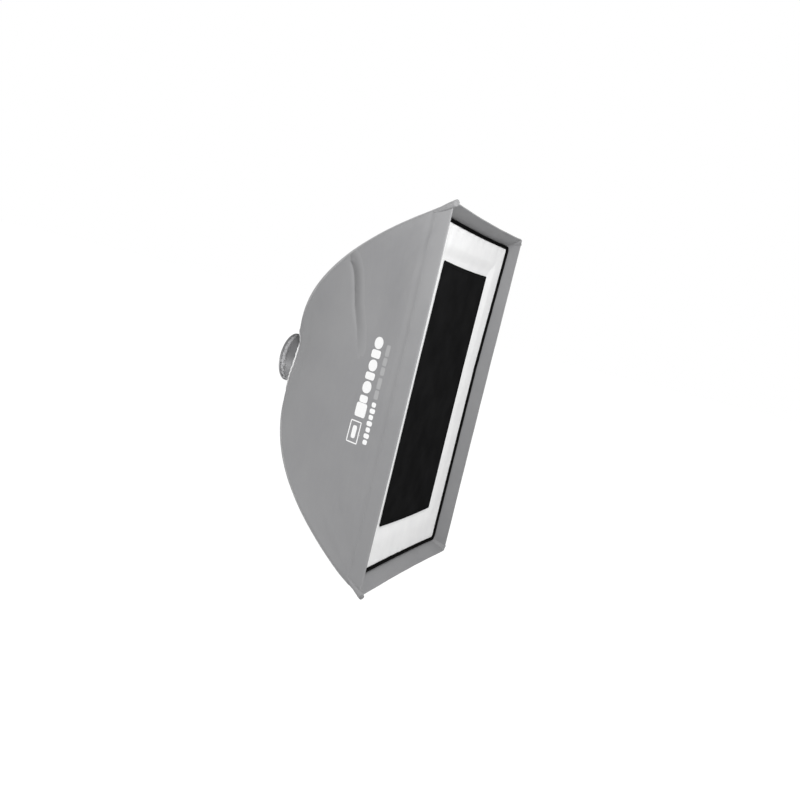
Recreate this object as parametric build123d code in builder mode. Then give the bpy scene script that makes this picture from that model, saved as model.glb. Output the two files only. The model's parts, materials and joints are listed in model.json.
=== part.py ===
"""Rectangular fabric softbox on a four-rod speedring, 600 x 900 mm at its front.

Row frame, millimetres: +Z is up along the long side of the front opening, the light leaves along -Y,
and the origin is the centre of the lamp collar's mouth, at the very back. "Depth" below is measured
backwards from the front rim, and a "share" is how far the shell has narrowed: 1 at the rim, 0 on axis.
"""

import os
from math import atan2, cos, hypot, sin

from build123d import *

# Driving dimensions: shell
front_width = 600
front_height = 900
total_depth = 455  # front rim to the collar's mouth
apex_depth = 426  # depth at which the four seams would meet on the axis
curve_power = 2.33  # how the seams bend: 2 would be a parabola
cloth = 1.5
ring_hole_dia = 160

# Driving dimensions: rods and corners
rod_dia = 5
rod_points = [(0.3, 11), (0.45, 11), (0.6, 11), (0.74, 11), (0.86, 9.5)]  # share, inset from seam
pocket_share = 0.967
pocket_inset = 7.4
pocket_length = 34
pocket_dia = 12
pocket_end_r = 2.5
cap_length = 10
cap_wall = 1.3
piping_r = 2.2
piping_shares = (0.19, 0.35, 0.55, 0.75, 0.95)
sleeve_room = 0.4
sleeve_wall = 0.7
tip_gap = 4  # rod tip to the pocket's closed end, with its cap between
cap_end = 2  # rubber in front of a rod's tip
socket_mouth = 108  # distances from the axis along a rod
rod_start = 71
socket_start = 70
boss_start = 68
boss_end = 97

# Driving dimensions: front
lip_depth = 41
lip_inset = (20.5, 25)  # at the sides, at top and bottom
lip_edge_gap = 1.8
diffuser_depth = 36
diffuser_half = (276.5, 421)
border_width = 9
mask_width = 354
mask_height = 644
mask_rise = 7  # the mask is stuck on a little above the middle

# Driving dimensions: speedring
lamp_bore = 50  # radii
collar_bore = 52.5
journal = 60
collar_outer = 64
ring_outer = 72
ring_back = -24  # Y values, from the collar's mouth
ring_front = -50
clamp_y = -12
lock_y = -37.5
swivel_gap = 0.06
thread_gap = 0.05

half_width = front_width / 2
half_height = front_height / 2
aspect = front_height / front_width
corner_reach = hypot(half_width, half_height)
corner_angle = atan2(half_height, half_width)
corners = [(1, 1), (-1, 1), (-1, -1), (1, -1)]
upright = Plane(origin=(0, 0, 0), x_dir=(0, 0, 1), z_dir=(-1, 0, 0))  # local x is row Z, local y is row Y

pieces = []


def keep(builder, name):
    """Label a finished piece and remember it for export."""
    builder.part.label = name
    pieces.append(builder.part)
    return builder


def mirrored(source, plane):
    """The same piece on the other side of a symmetry plane."""
    with BuildPart() as twin:
        add(mirror(source.part, about=plane, mode=Mode.PRIVATE))
    return twin


def cross_plane(y):
    """Plane across the axis at this Y; its normal points forwards."""
    return Plane.XZ.offset(-y)


def forward_plane(point, y):
    """Plane across the axis direction at this Y, centred in front of or behind a point."""
    return Plane(origin=(point.X, y, point.Z), x_dir=(1, 0, 0), z_dir=(0, -1, 0))


def radial_plane(x, y):
    """Plane across the +X radius at this X and Y; its normal points outwards."""
    return Plane(origin=(x, y, 0), x_dir=(0, 1, 0), z_dir=(1, 0, 0))


def y_at(depth):
    """Row-frame Y of a depth behind the front rim."""
    return depth - total_depth


def depth_at(share):
    """Depth at which the shell has narrowed to this share of its front opening."""
    return apex_depth * (1 - share**curve_power)


def curve_normal(share, half):
    """Unit normal, outwards and backwards, of the flare curve of a panel with this half opening."""
    slope = apex_depth * curve_power * share ** (curve_power - 1) / half
    return slope / hypot(slope, 1), 1 / hypot(slope, 1)


def flare_point(share, half, inward=0.0):
    """Point (distance from the axis, Y) of the flare curve, moved inwards along its normal."""
    out, back = curve_normal(share, half)
    return half * share - inward * out, y_at(depth_at(share) - inward * back)


def corner_plane(sign_x, sign_z):
    """Plane through the axis and one front corner: local x runs outwards, local y is row +Y."""
    c, s = sign_x * cos(corner_angle), sign_z * sin(corner_angle)
    return Plane(origin=(0, 0, 0), x_dir=(c, 0, s), z_dir=(-s, 0, c))


def seam_point(plane, share, inset):
    """Row-frame point inside a corner seam."""
    return plane.from_local_coords(flare_point(share, corner_reach, inset))


def seam_tangent(plane, share):
    """Row-frame direction along a corner seam, forwards and outwards."""
    out, back = curve_normal(share, corner_reach)
    origin = plane.from_local_coords((0, 0))
    return (plane.from_local_coords((back, -out)) - origin).normalized()


# ---------------------------------------------------------------- rods, sleeves and corner pockets
def socket_point(plane, reach):
    """Point on the straight inner end of a rod, at a distance from the axis along the rod."""
    mouth_share = socket_mouth / corner_reach
    mouth = seam_point(plane, mouth_share, rod_points[0][1])
    return mouth - seam_tangent(plane, mouth_share) * (socket_mouth - reach)


def socket_frame(plane, reach):
    """Local frame on a rod's inner end: z runs outwards along the rod."""
    return Plane(origin=socket_point(plane, reach), z_dir=seam_tangent(plane, socket_mouth / corner_reach))


def arc_chain(plane, points, tangent):
    """Tangent arcs through (share, inset) points of a corner seam."""
    places = [seam_point(plane, *point) for point in points]
    arcs = []
    for start, end in zip(places, places[1:]):
        arcs.append(TangentArc(start, end, tangent=tangent))
        tangent = arcs[-1] % 1
    return arcs


def rod_line(plane):
    """Centre line of a rod: straight in its socket and its pocket, bent between them."""
    mouth_share = socket_mouth / corner_reach
    bend = [(mouth_share, rod_points[0][1]), *rod_points, (pocket_share, pocket_inset)]
    with BuildLine() as path:
        Line(socket_point(plane, rod_start), socket_point(plane, socket_mouth))
        last = arc_chain(plane, bend, seam_tangent(plane, mouth_share))[-1]
        Line(last @ 1, (last @ 1) + (last % 1) * (pocket_length - tip_gap))
    return path.wires()[0]


def pocket_frame(plane):
    """Local frame at a corner pocket's mouth: z runs to the rod's tip."""
    origin = seam_point(plane, pocket_share, pocket_inset)
    return Plane(origin=origin, z_dir=rod_line(plane) % 1)


def make_rod(plane):
    line = rod_line(plane)
    with BuildPart() as rod:
        with BuildSketch(Plane(origin=line @ 0, z_dir=line % 0)):
            Circle(rod_dia / 2)
        sweep(path=line)
    return rod


def make_sleeve(plane):
    """Cloth tunnel that keeps a rod in its corner seam."""
    with BuildLine() as path:
        arc_chain(plane, rod_points, seam_tangent(plane, rod_points[0][0]))
    line = path.wires()[0]
    with BuildPart() as sleeve:
        with BuildSketch(Plane(origin=line @ 0, z_dir=line % 0)):
            Circle(rod_dia / 2 + sleeve_room + sleeve_wall)
            Circle(rod_dia / 2 + sleeve_room, mode=Mode.SUBTRACT)
        sweep(path=line)
    return sleeve


def make_piping(plane):
    """Corded piping sewn into a corner seam, just outside the cloth."""
    points = [(share, -piping_r - 0.5) for share in piping_shares]
    with BuildLine() as path:
        arc_chain(plane, points, seam_tangent(plane, points[0][0]))
    line = path.wires()[0]
    with BuildPart() as piping:
        with BuildSketch(Plane(origin=line @ 0, z_dir=line % 0)):
            Circle(piping_r)
        sweep(path=line)
    return piping


def make_pocket(plane):
    """Closed tube on a corner of the rim, which takes the rod's tip."""
    with BuildPart() as pocket:
        with BuildSketch(pocket_frame(plane)):
            Circle(pocket_dia / 2)
        extrude(amount=pocket_length)
        fillet(pocket.edges().sort_by(Axis.Y)[0], pocket_end_r)
        with BuildSketch(pocket_frame(plane)):
            Circle(rod_dia / 2 + cap_wall + 0.2)
        extrude(amount=pocket_length - tip_gap + cap_end + 0.2, mode=Mode.SUBTRACT)
    return pocket


def make_cap(plane):
    """Rubber cap on a rod's tip."""
    tip = pocket_length - tip_gap
    with BuildPart() as cap:
        with BuildSketch(pocket_frame(plane).offset(tip + cap_end - cap_length)):
            Circle(rod_dia / 2 + cap_wall)
        extrude(amount=cap_length)
        with BuildSketch(pocket_frame(plane).offset(tip - cap_length)):
            Circle(rod_dia / 2 + 0.05)
        extrude(amount=cap_length + 0.1, mode=Mode.SUBTRACT)
    return cap


lip_passage = 16  # length of rod behind its pocket that passes through the lips' corners

with BuildPart() as pocket_clearance:
    for sx, sz in corners:
        with BuildSketch(pocket_frame(corner_plane(sx, sz)).offset(-0.3)):
            Circle(pocket_dia / 2 + 0.3)
        extrude(amount=pocket_length + 10)
        with BuildSketch(pocket_frame(corner_plane(sx, sz)).offset(-lip_passage)):
            Circle(rod_dia / 2 + 0.8)
        extrude(amount=lip_passage)

caps = []
for number, (sx, sz) in enumerate(corners, start=1):
    corner = corner_plane(sx, sz)
    keep(make_rod(corner), f"rod_{number}")
    keep(make_sleeve(corner), f"rod_sleeve_{number}")
    keep(make_piping(corner), f"seam_piping_{number}")
    keep(make_pocket(corner), f"corner_pocket_{number}")
    caps.append(make_cap(corner).part)

with BuildPart() as rod_end_caps:
    for cap in caps:
        add(cap)
keep(rod_end_caps, "rod_end_caps")

# ---------------------------------------------------------------- fabric shell
panel_shares = [1, 0.93, 0.84, 0.72, 0.6, 0.48, 0.36, 0.25, 0.13]


def mitre_wedge(side_panel):
    """Prism between the two corner planes, on the +X side or on the +Z side."""
    far_x, far_z = 1.2 * half_width, 1.2 * half_height
    third = (far_x, -far_z) if side_panel else (-far_x, far_z)
    with BuildPart() as wedge:
        with BuildSketch(Plane.XZ):
            with BuildLine():
                Polyline((0, 0), (far_x, far_z), third, close=True)
            make_face()
        extrude(amount=1.1 * total_depth)
    return wedge.part


def flare_band(half, plane, half_length, side_panel, outset, inset, shares):
    """Curved sheet between two offsets of a panel's flare curve, mitred at both corners."""
    outer = [flare_point(share, half, -outset) for share in shares]
    inner = [flare_point(share, half, inset) for share in shares]
    if shares[0] == 1:
        outer[0] = (half, y_at(0))
        inner[0] = (half - inset / curve_normal(1, half)[0], y_at(0))
    with BuildPart() as band:
        with BuildSketch(plane):
            with BuildLine():
                top = Spline(*outer)
                under = Spline(*inner)
                Line(top @ 0, under @ 0)
                Line(top @ 1, under @ 1)
            make_face()
        extrude(amount=half_length, both=True)
        add(mitre_wedge(side_panel), mode=Mode.INTERSECT)
    return band.part


def make_panel(half, plane, half_length, side_panel):
    with BuildPart() as panel:
        add(flare_band(half, plane, half_length, side_panel, 0, cloth, panel_shares))
        with BuildSketch(Plane.XZ):
            Circle(ring_hole_dia / 2)
        extrude(amount=total_depth / 3, mode=Mode.SUBTRACT)
        add(pocket_clearance.part, mode=Mode.SUBTRACT)
    return panel


panel_right = keep(make_panel(half_width, Plane.XY, half_height, True), "shell_panel_right")
keep(mirrored(panel_right, Plane.YZ), "shell_panel_left")
panel_top = keep(make_panel(half_height, upright, half_width, False), "shell_panel_top")
keep(mirrored(panel_top, Plane.XY), "shell_panel_bottom")

hem_width = 8
hem_thickness = 1.3
hem_gap = 0.1


def make_hem_quarter(half, plane, half_length, side_panel):
    """Elastic binding on the outside of one panel, round the speedring's hole."""
    with BuildPart() as hem:
        outset = hem_gap + hem_thickness
        add(flare_band(half, plane, half_length, side_panel, outset, -hem_gap, panel_shares[4:]))
        with BuildSketch(Plane.XZ):
            Circle(ring_hole_dia / 2 + hem_width)
        extrude(amount=total_depth / 3, mode=Mode.INTERSECT)
        with BuildSketch(Plane.XZ):
            Circle(ring_hole_dia / 2 + 0.2)
        extrude(amount=total_depth / 3, mode=Mode.SUBTRACT)
    return hem


hem_right = make_hem_quarter(half_width, Plane.XY, half_height, True)
hem_top = make_hem_quarter(half_height, upright, half_width, False)
with BuildPart() as rear_hem:
    add(hem_right.part)
    add(mirror(hem_right.part, about=Plane.YZ, mode=Mode.PRIVATE))
    add(hem_top.part)
    add(mirror(hem_top.part, about=Plane.XY, mode=Mode.PRIVATE))
keep(rear_hem, "rear_hem")


# ---------------------------------------------------------------- recessed lip and its loop tape
def make_lip(half, inset, plane, half_length, side_panel, edge_gap):
    """Strip that slopes from the rim back and inwards, with the diffuser's seat at its far edge."""
    edge = half - edge_gap
    with BuildPart() as lip:
        with BuildSketch(plane):
            with BuildLine():
                Polyline(
                    (edge, y_at(0)),
                    (edge - inset, y_at(lip_depth)),
                    (edge - inset - cloth, y_at(lip_depth)),
                    (edge - cloth, y_at(0)),
                    close=True,
                )
            make_face()
        extrude(amount=half_length, both=True)
        add(mitre_wedge(side_panel), mode=Mode.INTERSECT)
        add(pocket_clearance.part, mode=Mode.SUBTRACT)
    return lip


lip_right = make_lip(half_width, lip_inset[0], Plane.XY, half_height, True, lip_edge_gap)
keep(lip_right, "lip_right")
keep(mirrored(lip_right, Plane.YZ), "lip_left")
lip_top = make_lip(half_height, lip_inset[1], upright, half_width, False, lip_edge_gap * aspect)
keep(lip_top, "lip_top")
keep(mirrored(lip_top, Plane.XY), "lip_bottom")

tape_width = 20
tape_thickness = 1.2
loop_tape_depth = 39.2
hook_tape_depth = 37.6
tape_inset = 1.9
tape_corner_cut = 24


def tape_frame(depth):
    """Four straight strips of tape round the diffuser's seat, thickness backwards from the depth."""
    outer_x, outer_z = diffuser_half[0] - tape_inset, diffuser_half[1] - tape_inset
    long_run = outer_z - tape_corner_cut
    short_run = outer_x - tape_width - 1
    with BuildPart() as tape:
        with BuildSketch(cross_plane(y_at(depth + tape_thickness))):
            with Locations((outer_x - tape_width / 2, 0), (-outer_x + tape_width / 2, 0)):
                Rectangle(tape_width, 2 * long_run)
            with Locations((0, outer_z - tape_width / 2), (0, -outer_z + tape_width / 2)):
                Rectangle(2 * short_run, tape_width)
        extrude(amount=tape_thickness)
    return tape


keep(tape_frame(loop_tape_depth), "lip_loop_tape")

# ---------------------------------------------------------------- front diffuser
border_thickness = 1.6
sheet_thickness = 1.0
border_back = sheet_thickness + (border_thickness - sheet_thickness) / 2
outer_corner = 26
sheet_gap = 0.1

with BuildPart() as front_diffuser:
    with BuildSketch(cross_plane(y_at(diffuser_depth + sheet_thickness))):
        RectangleRounded(
            2 * (diffuser_half[0] - border_width - sheet_gap),
            2 * (diffuser_half[1] - border_width - sheet_gap),
            outer_corner - border_width,
        )
    extrude(amount=sheet_thickness)
keep(front_diffuser, "front_diffuser")

with BuildPart() as diffuser_border:
    with BuildSketch(cross_plane(y_at(diffuser_depth + border_back))):
        RectangleRounded(2 * diffuser_half[0], 2 * diffuser_half[1], outer_corner)
        RectangleRounded(
            2 * (diffuser_half[0] - border_width),
            2 * (diffuser_half[1] - border_width),
            outer_corner - border_width,
            mode=Mode.SUBTRACT,
        )
    extrude(amount=border_thickness)
keep(diffuser_border, "diffuser_border")
keep(tape_frame(hook_tape_depth), "diffuser_hook_tape")

# ---------------------------------------------------------------- centre mask
mask_depth = 33.4
mask_thickness = 1.2
mask_tape_width = 16
mask_tape_thickness = 0.9
mask_tape_inset = 2

with BuildPart() as center_mask:
    with BuildSketch(cross_plane(y_at(mask_depth + mask_thickness))):
        with Locations((0, mask_rise)):
            Rectangle(mask_width, mask_height)
    extrude(amount=mask_thickness)
keep(center_mask, "center_mask")

with BuildPart() as mask_hook_tape:
    with BuildSketch(cross_plane(y_at(mask_depth + mask_thickness + sheet_gap + mask_tape_thickness))):
        edge_x = (mask_width - mask_tape_width) / 2 - mask_tape_inset
        edge_z = (mask_height - mask_tape_width) / 2 - mask_tape_inset
        with Locations((edge_x, mask_rise), (-edge_x, mask_rise)):
            Rectangle(mask_tape_width, mask_height - 2 * mask_tape_width - 4 * mask_tape_inset)
        with Locations((0, mask_rise + edge_z), (0, mask_rise - edge_z)):
            Rectangle(mask_width - 2 * mask_tape_inset, mask_tape_width)
    extrude(amount=mask_tape_thickness)
keep(mask_hook_tape, "mask_hook_tape")

# ---------------------------------------------------------------- inner baffle
baffle_depth = 230
baffle_width = 300
baffle_height = 500
baffle_binding = 8
baffle_corner = 20
snap_inset = 16
snap_r = 5
snap_thickness = 2.2
strap_width = 12
strap_thickness = 1.2
strap_overlap = 6  # beyond the snap

with BuildPart() as inner_baffle:
    with BuildSketch(cross_plane(y_at(baffle_depth + sheet_thickness))):
        RectangleRounded(
            baffle_width - 2 * (baffle_binding + sheet_gap),
            baffle_height - 2 * (baffle_binding + sheet_gap),
            baffle_corner - baffle_binding,
        )
    extrude(amount=sheet_thickness)
keep(inner_baffle, "inner_baffle")

with BuildPart() as baffle_edge:
    with BuildSketch(cross_plane(y_at(baffle_depth + border_back))):
        RectangleRounded(baffle_width, baffle_height, baffle_corner)
        RectangleRounded(
            baffle_width - 2 * baffle_binding,
            baffle_height - 2 * baffle_binding,
            baffle_corner - baffle_binding,
            mode=Mode.SUBTRACT,
        )
    extrude(amount=border_thickness)
keep(baffle_edge, "baffle_binding")

baffle_share = (1 - baffle_depth / apex_depth) ** (1 / curve_power)
strap_reach = baffle_share * corner_reach - 24
strap_y = y_at(baffle_depth + border_back + 0.2 + strap_thickness)
snap_x = baffle_width / 2 - snap_inset
snap_z = baffle_height / 2 - snap_inset
with BuildPart() as baffle_straps:
    for sx, sz in corners:
        start = Vector(sx * snap_x, strap_y, sz * snap_z)
        plane = corner_plane(sx, sz)
        end = plane.from_local_coords((strap_reach, strap_y))
        run = end - start
        with BuildSketch(Plane(origin=start, x_dir=(run.Z, 0, -run.X), z_dir=run).offset(-strap_overlap)):
            Rectangle(strap_width, strap_thickness)
        extrude(amount=run.length + strap_overlap)
keep(baffle_straps, "baffle_straps")

with BuildPart() as baffle_snaps:
    with BuildSketch(cross_plane(y_at(baffle_depth - 0.6))):
        with Locations(*[(sx * snap_x, sz * snap_z) for sx, sz in corners]):
            Circle(snap_r)
    extrude(amount=snap_thickness)
keep(baffle_snaps, "baffle_snaps")


# ---------------------------------------------------------------- lamp collar (holds the lamp)
def turned(points):
    """Face of revolution about the axis from (radius, Y) points, as a solid."""
    with BuildPart() as solid:
        with BuildSketch(Plane.XY):
            with BuildLine():
                Polyline(*points, close=True)
            make_face()
        revolve(axis=Axis.Y)
    return solid.part


grip_bed = 60.2
grip_back = -5.5
grip_front = -15
ridge_r = 62.5
ridge_floor_r = 61.3
ridge_ys = (-16.6, -17.8, -19.4, -20.6)  # edges of the two grooves between the ridges
shoulder_y = -22
shoulder_r = 63
lock_groove_half = 3.5
lock_groove_depth = 2
shoe_half_y = 8
shoe_half_z = 11
shoe_back_x = 55
shoe_room_x = 57.5
shoe_gap = 0.3
clamp_screw_r = 3
clamp_boss_x = 71
clamp_boss_r = 7
screw_ring_r = 56.25
retaining_screw_r = 1.2

with BuildPart() as lamp_collar:
    add(
        turned(
            [
                (collar_bore, 0),
                (collar_outer - 1, 0),
                (collar_outer, -1),
                (collar_outer, grip_back + 0.5),
                (collar_outer - 0.5, grip_back),
                (grip_bed, grip_back),
                (grip_bed, grip_front),
                (ridge_r, grip_front),
                (ridge_r, ridge_ys[0]),
                (ridge_floor_r, ridge_ys[0]),
                (ridge_floor_r, ridge_ys[1]),
                (ridge_r, ridge_ys[1]),
                (ridge_r, ridge_ys[2]),
                (ridge_floor_r, ridge_ys[2]),
                (ridge_floor_r, ridge_ys[3]),
                (ridge_r, ridge_ys[3]),
                (ridge_r, shoulder_y),
                (shoulder_r, shoulder_y),
                (shoulder_r, ring_back + 0.3),
                (journal, ring_back + 0.3),
                (journal, lock_y + lock_groove_half),
                (journal - lock_groove_depth, lock_y + lock_groove_half),
                (journal - lock_groove_depth, lock_y - lock_groove_half),
                (journal, lock_y - lock_groove_half),
                (journal, ring_front - 0.4),
                (collar_bore, ring_front - 0.4),
            ]
        )
    )
    with BuildSketch(radial_plane(grip_bed - 2, clamp_y)):
        Circle(clamp_boss_r)
    extrude(amount=clamp_boss_x - grip_bed + 2)
    with BuildSketch(radial_plane(lamp_bore - 5, clamp_y)):
        Rectangle(2 * (shoe_half_y + shoe_gap), 2 * (shoe_half_z + shoe_gap))
    extrude(amount=shoe_room_x - lamp_bore + 5, mode=Mode.SUBTRACT)
    with BuildSketch(radial_plane(lamp_bore, clamp_y)):
        Circle(clamp_screw_r + thread_gap)
    extrude(amount=30, mode=Mode.SUBTRACT)
    with BuildSketch(cross_plane(ring_front + 7)):
        with PolarLocations(screw_ring_r, 4, start_angle=45):
            Circle(retaining_screw_r + 0.05)
    extrude(amount=10, mode=Mode.SUBTRACT)
keep(lamp_collar, "lamp_collar")

with BuildPart() as collar_liner:
    add(
        turned(
            [
                (lamp_bore, 0),
                (collar_bore - 0.05, 0),
                (collar_bore - 0.05, ring_front),
                (lamp_bore, ring_front),
            ]
        )
    )
    with BuildSketch(radial_plane(lamp_bore - 5, clamp_y)):
        Rectangle(2 * (shoe_half_y + shoe_gap), 2 * (shoe_half_z + shoe_gap))
    extrude(amount=20, mode=Mode.SUBTRACT)
keep(collar_liner, "collar_liner")

pad_count = 22
pad_width = 9
pad_thickness = 2.4
pad_edge_r = 0.9
with BuildPart() as grip_ring:
    add(
        turned(
            [
                (grip_bed + 0.05, grip_back - 0.1),
                (grip_bed + 1.4, grip_back - 0.1),
                (grip_bed + 1.4, grip_front + 0.1),
                (grip_bed + 0.05, grip_front + 0.1),
            ]
        )
    )
    with BuildSketch(cross_plane(grip_back - 1)):
        with PolarLocations(grip_bed + 2.1, pad_count, start_angle=180 / pad_count):
            RectangleRounded(pad_thickness, pad_width, pad_edge_r)
    extrude(amount=grip_back - grip_front - 2)
    with BuildSketch(radial_plane(lamp_bore, clamp_y)):
        Circle(clamp_boss_r + 0.4)
    extrude(amount=30, mode=Mode.SUBTRACT)
keep(grip_ring, "grip_ring")

retainer_thickness = 3
retainer_r = 65
with BuildPart() as retaining_ring:
    with BuildSketch(cross_plane(ring_front - 0.45)):
        Circle(retainer_r)
        Circle(collar_bore + 0.1, mode=Mode.SUBTRACT)
        with PolarLocations(screw_ring_r, 4, start_angle=45):
            Circle(retaining_screw_r + 0.1, mode=Mode.SUBTRACT)
    extrude(amount=retainer_thickness)
    chamfer(retaining_ring.edges().filter_by(GeomType.CIRCLE).sort_by(SortBy.RADIUS)[-2:], 0.8)
keep(retaining_ring, "retaining_ring")

with BuildPart() as retaining_screws:
    with BuildSketch(cross_plane(ring_front + 6)):
        with PolarLocations(screw_ring_r, 4, start_angle=45):
            Circle(retaining_screw_r)
    extrude(amount=6 + 0.5 + retainer_thickness)
    with BuildSketch(cross_plane(ring_front - 0.5 - retainer_thickness)):
        with PolarLocations(screw_ring_r, 4, start_angle=45):
            Circle(2.3)
    extrude(amount=1.5)
keep(retaining_screws, "retaining_screws")

# ---------------------------------------------------------------- clamp shoe, screw and knob
shoe_socket_x = 52.6
screw_tip_r = 2
knob_flutes = 6
with BuildPart() as clamp_shoe:
    with BuildSketch(radial_plane(lamp_bore - 4, clamp_y)):
        Rectangle(2 * shoe_half_y, 2 * shoe_half_z)
    extrude(amount=shoe_back_x - lamp_bore + 4)
    with BuildSketch(Plane.XZ):
        Circle(lamp_bore)
    extrude(amount=40, mode=Mode.SUBTRACT)
    with BuildSketch(radial_plane(shoe_socket_x, clamp_y)):
        Circle(screw_tip_r + 0.1)
    extrude(amount=5, mode=Mode.SUBTRACT)
keep(clamp_shoe, "clamp_shoe")


def make_screw(y, tip_x, tip_length, shank_r, end_x):
    """Turned screw along +X with a narrower tip towards the axis."""
    with BuildPart() as screw:
        with BuildSketch(radial_plane(tip_x, y)):
            Circle(screw_tip_r)
        extrude(amount=tip_length)
        with BuildSketch(radial_plane(tip_x + tip_length, y)):
            Circle(shank_r)
        extrude(amount=end_x - tip_x - tip_length)
        chamfer(screw.faces().sort_by(Axis.X)[0].edges(), 0.4)
    return screw


def make_knob(y, hub_x, face_x, top_x, hub_r, knob_r, shank_r):
    """Fluted knob pressed on the end of a screw."""
    with BuildPart() as knob:
        with BuildSketch(radial_plane(face_x, y)):
            Circle(knob_r)
            with PolarLocations(knob_r + 0.6, knob_flutes):
                Circle(knob_r * 0.24, mode=Mode.SUBTRACT)
        extrude(amount=top_x - face_x)
        fillet(knob.faces().sort_by(Axis.X)[-1].edges(), 1.2)
        with BuildSketch(radial_plane(hub_x, y)):
            Circle(hub_r)
        extrude(amount=face_x - hub_x)
        with BuildSketch(radial_plane(hub_x - 1, y)):
            Circle(shank_r)
        extrude(amount=10 + face_x - hub_x, mode=Mode.SUBTRACT)
        with BuildSketch(radial_plane(top_x - 1.2, y)):
            Circle(knob_r * 0.45)
        extrude(amount=2, mode=Mode.SUBTRACT)
    return knob


press_gap = 0.02
clamp_hub_x = clamp_boss_x + 2.5
clamp_hub_r = 6
clamp_face_x = clamp_hub_x + 3
clamp_top_x = clamp_face_x + 14
clamp_knob_r = 11.5
keep(make_screw(clamp_y, shoe_socket_x + 0.1, 2.7, clamp_screw_r, clamp_face_x + 8), "clamp_screw")
clamp_bore = clamp_screw_r + press_gap
clamp_knob = make_knob(
    clamp_y, clamp_hub_x, clamp_face_x, clamp_top_x, clamp_hub_r, clamp_knob_r, clamp_bore
)
keep(clamp_knob, "clamp_knob")

# ---------------------------------------------------------------- ring body, sockets and set screws
boss_r = 8
socket_r = 5.5
lock_boss_x = 78
lock_boss_r = 7
lock_boss_start = 66
lock_screw_r = 2.5
set_screw_r = 1.5
set_screw_reach = 90
set_screw_length = 6.5
behind_sockets = -45

with BuildPart() as ring_body:
    add(
        turned(
            [
                (journal - 1, ring_back),
                (ring_outer - 2, ring_back),
                (ring_outer, ring_back - 2),
                (ring_outer, ring_front + 1),
                (ring_outer - 1, ring_front),
                (journal - 1, ring_front),
            ]
        )
    )
    with BuildSketch(radial_plane(lock_boss_start, lock_y)):
        Circle(lock_boss_r)
    extrude(amount=lock_boss_x - lock_boss_start)
    for sx, sz in corners:
        with BuildSketch(socket_frame(corner_plane(sx, sz), boss_start)):
            Circle(boss_r)
        extrude(amount=boss_end - boss_start)
    for sx, sz in corners:
        with BuildSketch(socket_frame(corner_plane(sx, sz), socket_start - 0.5)):
            Circle(socket_r + 0.05)
        extrude(amount=60, mode=Mode.SUBTRACT)
        with BuildSketch(forward_plane(socket_point(corner_plane(sx, sz), set_screw_reach), behind_sockets)):
            Circle(set_screw_r + 0.05)
        extrude(amount=20, mode=Mode.SUBTRACT)
    with BuildSketch(cross_plane(0)):
        Circle(journal + swivel_gap)
    extrude(amount=80, mode=Mode.SUBTRACT)
    with BuildSketch(radial_plane(lamp_bore, lock_y)):
        Circle(lock_screw_r + thread_gap)
    extrude(amount=40, mode=Mode.SUBTRACT)
keep(ring_body, "ring_body")


def make_socket(plane):
    """Steel tube in the ring's boss; a rod's inner end slides into it."""
    with BuildPart() as socket:
        with BuildSketch(socket_frame(plane, socket_start)):
            Circle(socket_r)
            Circle(rod_dia / 2 + 0.1, mode=Mode.SUBTRACT)
        extrude(amount=socket_mouth - socket_start)
        chamfer(socket.edges().filter_by(GeomType.CIRCLE).sort_by(Axis.Y)[:2], 0.6)
        with BuildSketch(forward_plane(socket_point(plane, set_screw_reach), behind_sockets)):
            Circle(set_screw_r + 0.05)
        extrude(amount=20, mode=Mode.SUBTRACT)
    return socket


for number, (sx, sz) in enumerate(corners, start=1):
    keep(make_socket(corner_plane(sx, sz)), f"rod_socket_{number}")

with BuildPart() as rod_set_screws:
    for sx, sz in corners:
        middle = socket_point(corner_plane(sx, sz), set_screw_reach)
        with BuildSketch(forward_plane(middle, middle.Y - rod_dia / 2 - 0.3)):
            Circle(set_screw_r)
        extrude(amount=set_screw_length)
keep(rod_set_screws, "rod_set_screws")

lock_tip_x = journal - lock_groove_depth + 0.4
washer_r = 5.5
washer_thickness = 1.2
lock_washer_x = lock_boss_x + 0.6
lock_hub_x = lock_washer_x + washer_thickness + 0.2
lock_hub_r = 5
lock_face_x = lock_hub_x + 2
lock_top_x = lock_hub_x + 13
lock_knob_r = 8.5
lock_bore = lock_screw_r + press_gap

with BuildPart() as lock_washer:
    with BuildSketch(radial_plane(lock_washer_x, lock_y)):
        Circle(washer_r)
        Circle(lock_screw_r + 0.3, mode=Mode.SUBTRACT)
    extrude(amount=washer_thickness)
keep(lock_washer, "lock_washer")
keep(make_screw(lock_y, lock_tip_x, 1.4, lock_screw_r, lock_hub_x + 9), "lock_screw")
lock_knob = make_knob(lock_y, lock_hub_x, lock_face_x, lock_top_x, lock_hub_r, lock_knob_r, lock_bore)
keep(lock_knob, "lock_knob")

os.makedirs("parts", exist_ok=True)
for piece in pieces:
    export_step(piece, f"parts/{piece.label}.step")
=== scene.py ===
"""The looks of the rectangular softbox: sewn cloth, bindings, stitching, printed panel, metal and rubber.

Everything is worked out in the row frame. Helpers take millimetres and make meshes in metres.
+Z is up along the long side of the front, light leaves along -Y, and the origin is the collar's mouth.
"""

import json
from math import cos, hypot, pi, radians, sin

import bmesh
import bpy
import numpy as np
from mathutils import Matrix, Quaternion, Vector, noise


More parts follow.
